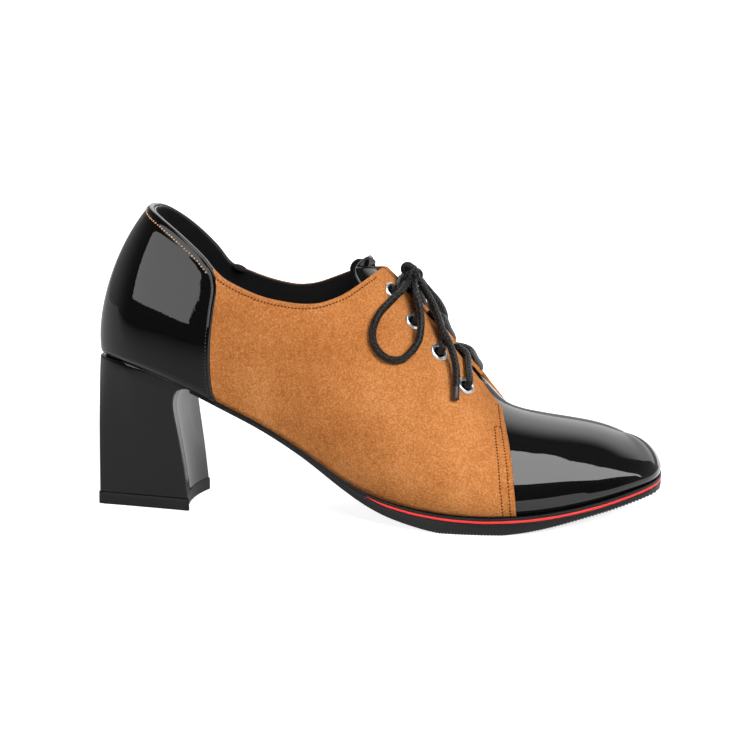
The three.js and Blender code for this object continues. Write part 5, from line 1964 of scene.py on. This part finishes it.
@dataclass(frozen=True)
class Braid:
    """Waxed round lace: yarns braided over each other, the wax catching light on each crossing, with a
    painted highlight of lighter colour on the yarns' crowns.

    The UVs run once round the lace and in millimetres along it.
    """

    name: str
    colour: str = "#050506"
    crown_glint: str = "#101012"
    yarns: float = 6.0
    pitch: float = 2.1

    def material(self) -> Material:
        """The Blender material."""
        surface = {
            "Roughness": 0.5,
            "Specular IOR Level": 0.1,
            "Coat Weight": 0.55,
            "Coat Roughness": 0.16,
        }
        material, tree, shader = new_material(self.name, surface)
        uv = add(tree, "UVMap", uv_map="UVMap").outputs["UV"]
        place = add(tree, "SeparateXYZ", {"Vector": uv}).outputs
        circle = 2 * math.pi
        turn = add(tree, "Math", {0: place["X"], 1: circle * self.yarns}, operation="MULTIPLY")
        run = add(tree, "Math", {0: place["Y"], 1: circle / self.pitch}, operation="MULTIPLY")
        waves = []
        for way in ("ADD", "SUBTRACT"):
            lean = add(tree, "Math", {0: turn.outputs[0], 1: run.outputs[0]}, operation=way)
            waves.append(add(tree, "Math", {0: lean.outputs[0]}, operation="SINE").outputs[0])
        woven = add(tree, "Math", {0: waves[0], 1: waves[1]}, operation="MAXIMUM")
        limits = {"Value": woven.outputs[0], "From Min": -0.6, "From Max": 1.0}
        height = add(tree, "MapRange", limits).outputs[0]
        # painted highlight: the colour turns lighter on the yarns' crowns, where the wax glints
        stops = ((0.35, srgb(self.colour)), (1.0, srgb(self.crown_glint)))
        add(tree, "ValToRGB", {"Fac": height}, stops, to=(shader.inputs["Base Color"],))
        relief = {"Height": height, "Distance": 0.34 * MM}
        add(tree, "Bump", relief, to=(shader.inputs["Normal"], shader.inputs["Coat Normal"]))
        return material


# Studio


@dataclass(frozen=True)
class Softbox:
    """A softbox, aimed at a point, that glossy surfaces don't show.

    Attributes:
        name: its name.
        place: its middle, in metres.
        aim: the point that it faces.
        size: width and height, in metres.
        radiance: how bright its face is.
    """

    name: str
    place: Spot
    aim: Spot
    size: tuple[float, float]
    radiance: float

    def build(self) -> None:
        """Sets up the light."""
        light = bpy.data.lights.new(self.name, "AREA")
        light.shape = "RECTANGLE"
        light.size, light.size_y = self.size
        light.energy = self.radiance * math.pi * self.size[0] * self.size[1]
        box = linked(self.name, light)
        aimed(box, self.place, self.aim)
        box.visible_glossy = False


@dataclass(frozen=True)
class Panel:
    """A diffuser panel of any outline that lights the shoe and shows in the patent leather.

    Attributes:
        name: its name.
        corners: its outline, in metres.
        radiance: how bright it is at its brighter height.
        bright_z: height of full brightness, in metres.
        dark_z: height where it has faded, in metres.
        least: share of its brightness that is left there.
        lights: whether it also lights matte surfaces.
    """

    name: str
    corners: tuple[Spot, ...]
    radiance: float
    bright_z: float = 0.0
    dark_z: float = 10.0
    least: float = 0.0
    lights: bool = True

    def build(self) -> None:
        """Sets up the panel, unseen by the camera."""
        mesh = bpy.data.meshes.new(self.name)
        mesh.from_pydata(self.corners, [], [tuple(range(len(self.corners)))])
        material = bpy.data.materials.new(f"{self.name}_diffuser")
        material.use_nodes = True
        tree = material.node_tree
        place = add(tree, "TexCoord").outputs["Object"]
        height = add(tree, "SeparateXYZ", {"Vector": place}).outputs["Z"]
        limits = {"Value": height, "From Min": self.bright_z, "From Max": self.dark_z}
        ends = {"To Min": self.radiance, "To Max": self.radiance * self.least}
        fade = add(tree, "MapRange", limits | ends, interpolation_type="SMOOTHSTEP")
        surface = tree.nodes["Material Output"].inputs["Surface"]
        add(tree, "Emission", {"Strength": fade.outputs[0]}, to=(surface,))
        mesh.materials.append(material)
        panel = linked(self.name, mesh)
        panel.visible_camera = False
        panel.visible_diffuse = self.lights


@dataclass(frozen=True)
class Studio:
    """Camera, pale floor, surroundings, softboxes and panels."""

    camera_at: Spot = (0.2516, -0.9707, 0.2503)
    aim: Spot = (0.0981, -0.0015, 0.05775)
    lens: float = 113.28
    reach: float = 10.0
    front_edge: float = -0.36

    def camera(self) -> None:
        """Sets up the camera at the photo's viewpoint."""
        data = bpy.data.cameras.new("camera")
        data.lens, data.sensor_width = self.lens, 36.0
        data.clip_start, data.clip_end = 0.05, 60.0
        camera = linked("camera", data)
        aimed(camera, self.camera_at, self.aim)
        bpy.context.scene.camera = camera

    def paper(self) -> Material:
        """White paper floor with a painted glow: its emission, weaker near the shoe and stronger away
        from it, paints light on the floor and leaves painted shade round the shoe.
        """
        surface = {"Base Color": srgb("#EFEFEF"), "Roughness": 0.95, "Specular IOR Level": 0.0}
        material, tree, shader = new_material("white_paper_floor", surface | {"Emission Color": WHITE})
        ends = {0: add(tree, "TexCoord").outputs["Object"], 1: (0.1, 0.0, 0.0)}
        distance = add(tree, "VectorMath", ends, operation="DISTANCE").outputs["Value"]
        # painted light: the floor's glow rises from 0.8 near the shoe to 1.05 half a metre away
        limits = {"Value": distance, "From Min": 0.12, "From Max": 0.5, "To Min": 0.8, "To Max": 1.05}
        to = (shader.inputs["Emission Strength"],)
        add(tree, "MapRange", limits, to=to, interpolation_type="SMOOTHSTEP")
        return material

    def floor(self) -> None:
        """Lays the white floor, and the grey table that the glossy leather mirrors instead: a glowing
        sheet seen only in reflections, whose glow and grey paint the reflection of the floor.

        The table's edge is soft at the heel.
        """
        surface = {"Roughness": 0.9, "Specular IOR Level": 0.0, "Emission Color": WHITE}
        painted_reflection_table, tree, shader = new_material("grey_table_painted_reflection", surface)
        place = add(tree, "SeparateXYZ", {"Vector": add(tree, "TexCoord").outputs["Object"]}).outputs
        # painted reflection: the table's glow rises from 0.5 at the heel to 1.3 towards the toe
        limits = {"Value": place["X"], "From Min": 0.0, "From Max": 0.2, "To Min": 0.5, "To Max": 1.3}
        glow = add(tree, "MapRange", limits).outputs[0]
        edge = self.front_edge
        limits = {"Value": place["X"], "From Max": 0.12, "To Min": edge + 0.26, "To Max": edge + 0.01}
        full = add(tree, "MapRange", limits).outputs[0]
        limits = {"Value": place["Y"], "From Min": edge, "From Max": full}
        fade = add(tree, "MapRange", limits).outputs[0]
        # painted reflection: the grey fades to black at the front edge, and dims the glow there too
        stops = ((0.0, BLACK), (1.0, srgb("#B0B0B2")))
        add(tree, "ValToRGB", {"Fac": fade}, stops, to=(shader.inputs["Base Color"],))
        to = (shader.inputs["Emission Strength"],)
        add(tree, "Math", {0: glow, 1: fade}, to=to, operation="MULTIPLY")
        sheets = (("floor", -self.reach, self.paper()), ("table", self.front_edge, painted_reflection_table))
        for name, low, finish in sheets:
            deselect()
            bpy.ops.mesh.primitive_plane_add(size=1)
            sheet = bpy.context.active_object
            sheet.name = name
            sheet.data.transform(Matrix.Diagonal((2 * self.reach, self.reach - low, 1, 1)))
            sheet.data.transform(Matrix.Translation((0, (low + self.reach) / 2, -0.0001)))
            sheet.data.materials.append(finish)
            sheet.visible_glossy = name == "table"
            sheet.visible_camera = sheet.visible_shadow = name == "floor"
            sheet.visible_diffuse = False

    def surroundings(self) -> None:
        """Sets up the room: pale low behind the shoe, dark above and on the camera's side."""
        world = bpy.data.worlds.new("room")
        bpy.context.scene.world = world
        world.use_nodes = True
        tree = world.node_tree
        way = add(tree, "SeparateXYZ", {"Vector": add(tree, "TexCoord").outputs["Generated"]}).outputs
        limits = {"Value": way["Y"], "From Min": -0.45, "From Max": 0.3}
        back = add(tree, "MapRange", limits, interpolation_type="SMOOTHSTEP").outputs[0]
        limits = {"Value": way["Z"], "From Min": 0.75, "From Max": 0.15, "To Min": 0.12, "To Max": 1.0}
        low = add(tree, "MapRange", limits, interpolation_type="SMOOTHSTEP").outputs[0]
        both = add(tree, "Math", {0: back, 1: low}, operation="MULTIPLY").outputs[0]
        stops = ((0.0, (0.03, 0.03, 0.032, 1)), (1.0, (0.3, 0.3, 0.3, 1)))
        add(tree, "ValToRGB", {"Fac": both}, stops, to=(tree.nodes["Background"].inputs["Color"],))
        tree.nodes["Background"].inputs["Strength"].default_value = 1.0

    def build(self) -> None:
        """Sets up everything but the camera."""
        bpy.context.scene.view_settings.view_transform = "Standard"
        self.floor()
        self.surroundings()
        for light in (*SOFTBOXES, *PANELS):
            light.build()


SOFTBOXES = (
    Softbox("key", (0.9, -1.05, 0.85), (0.1, 0.0, 0.05), (0.7, 0.7), 22.0),
    Softbox("top", (0.1, 0.2, 1.7), (0.1, 0.0, 0.0), (1.6, 1.6), 0.25),
)

PANELS = (
    Panel(
        "left_window",
        (
            (-1.72, -0.70, 1.0), (-1.66, -0.835, 0.17), (-0.37, -1.63, -0.09), (-0.25, -1.66, 0.19),
            (-0.20, -1.67, 0.95),
        ),
        2.6,
    ),
    Panel(
        "overhead",
        (
            (0.2, 0.06, 1.50), (0.424, -0.032, 1.373), (0.588, -0.195, 1.21), (0.82, -0.259, 1.04),
            (1.739, 0.111, 0.605), (1.307, -0.388, 0.688), (1.067, -0.745, 0.704),
            (0.743, -0.898, 0.849), (0.504, -1.027, 0.95), (0.2, -1.1, 1.12),
        ),
        6.2,
        lights=False,
    ),
    Panel(
        "behind",
        ((-0.7, 1.75, 0.45), (1.8, 1.75, 0.45), (1.8, 0.72, 2.4), (-0.7, 0.72, 2.4)),
        1.6,
        bright_z=1.3,
        dark_z=2.3,
        least=0.02,
    ),
)


# Assembly


def main() -> None:
    logging.basicConfig(level=logging.INFO, format="%(message)s")
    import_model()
    studio = Studio()
    studio.camera()

    patent = Patent("black_patent_leather").material()
    suede = Suede("tan_suede").material()
    lining = Plain("black_lining", "#131315", 0.78, 1.1, 0.05, 0.35).material()
    rubber = Plain("black_sole_rubber", "#0A090A", 0.5, 1.5, 0.02, 0.35).material()
    red = Plain("red_sole_stripe", "#EE3B38", 0.45, 2.0, 0.01).material()
    nickel = Nickel("polished_nickel").material()
    cord = Braid("black_waxed_lace").material()
    sealed = Plain("heat_sealed_lace_end", "#2A211B", 0.4, 0.8, 0.05).material()
    tan_thread = Plain("tan_thread", "#D8A67E", 0.7, 0.4, 0.03).material()
    brown_thread = Plain("brown_thread", "#5E3418", 0.8, 0.4, 0.03, 0.3).material()
    black_thread = Plain("black_thread", "#252526", 0.4, 0.4, 0.03).material()

    places = eyelet_places()
    Lace().build(places, cord, sealed)
    Upper().build(patent, lining, places)
    quarters = {}
    for side in Side:
        own = [place for place in places if place.side is side]
        quarters[side] = Quarter(side).build(suede, own)
    counter, counter_edges = Counter().build(patent)
    Tongue().build(patent, lining)
    inset = -(WALL + 2 * GAP)
    Plate(
        "sock_lining", "insole", "lining",
        lambda x: LAST.feather_z(x) + INSOLE_THICKNESS, LAST.feather_z, welt=0.0, more=inset, edge=0.5,
    ).build(lining)
    Plate(
        "midsole_edge", "midsole", "rubber",
        lambda x: LAST.feather_z(x) - SEAT_GAP + 0.1, midsole_bottom,
    ).build(rubber)
    Plate(
        "red_edge_stripe", "stripe", "stripe", lambda x: midsole_bottom(x) - GLUE_LINE, stripe_bottom,
        start=STRIPE_START, more=0.1, edge=0.3,
    ).build(red)
    Outsole(
        "outsole_ribbed", "outsole", "rubber", outsole_top, outsole_bottom,
        start=float(LAST.station_of(HEEL_BREAST_REACH + 2 * GAP)), edge=0.35,
    ).build(rubber)
    Heel().build(patent, rubber)
    Eyelets().build(places, nickel)

    brown_rows = []
    for side, (piece, edges) in quarters.items():
        brown_rows += [(line, piece) for line in Quarter(side).sewn(edges, 1.6)]
    Sewing("quarter_stitches", "suede", 1.45, 0.95, 0.75).build(brown_rows, brown_thread)
    tan_rows, black_rows = [], []
    for side, edges in counter_edges.items():
        top, front = Counter().sewn(side, edges, 2.2)
        tan_rows.append((top, counter))
        black_rows.append((front, counter))
    SeamFold().build(counter_edges[Side.INNER], lining)
    Sewing("counter_top_stitches", "patent", 1.5, 0.85, 0.75).build(tan_rows, tan_thread)
    Sewing("counter_edge_stitches", "patent").build(black_rows, black_thread)

    studio.build()


if __name__ == "__main__":
    main()
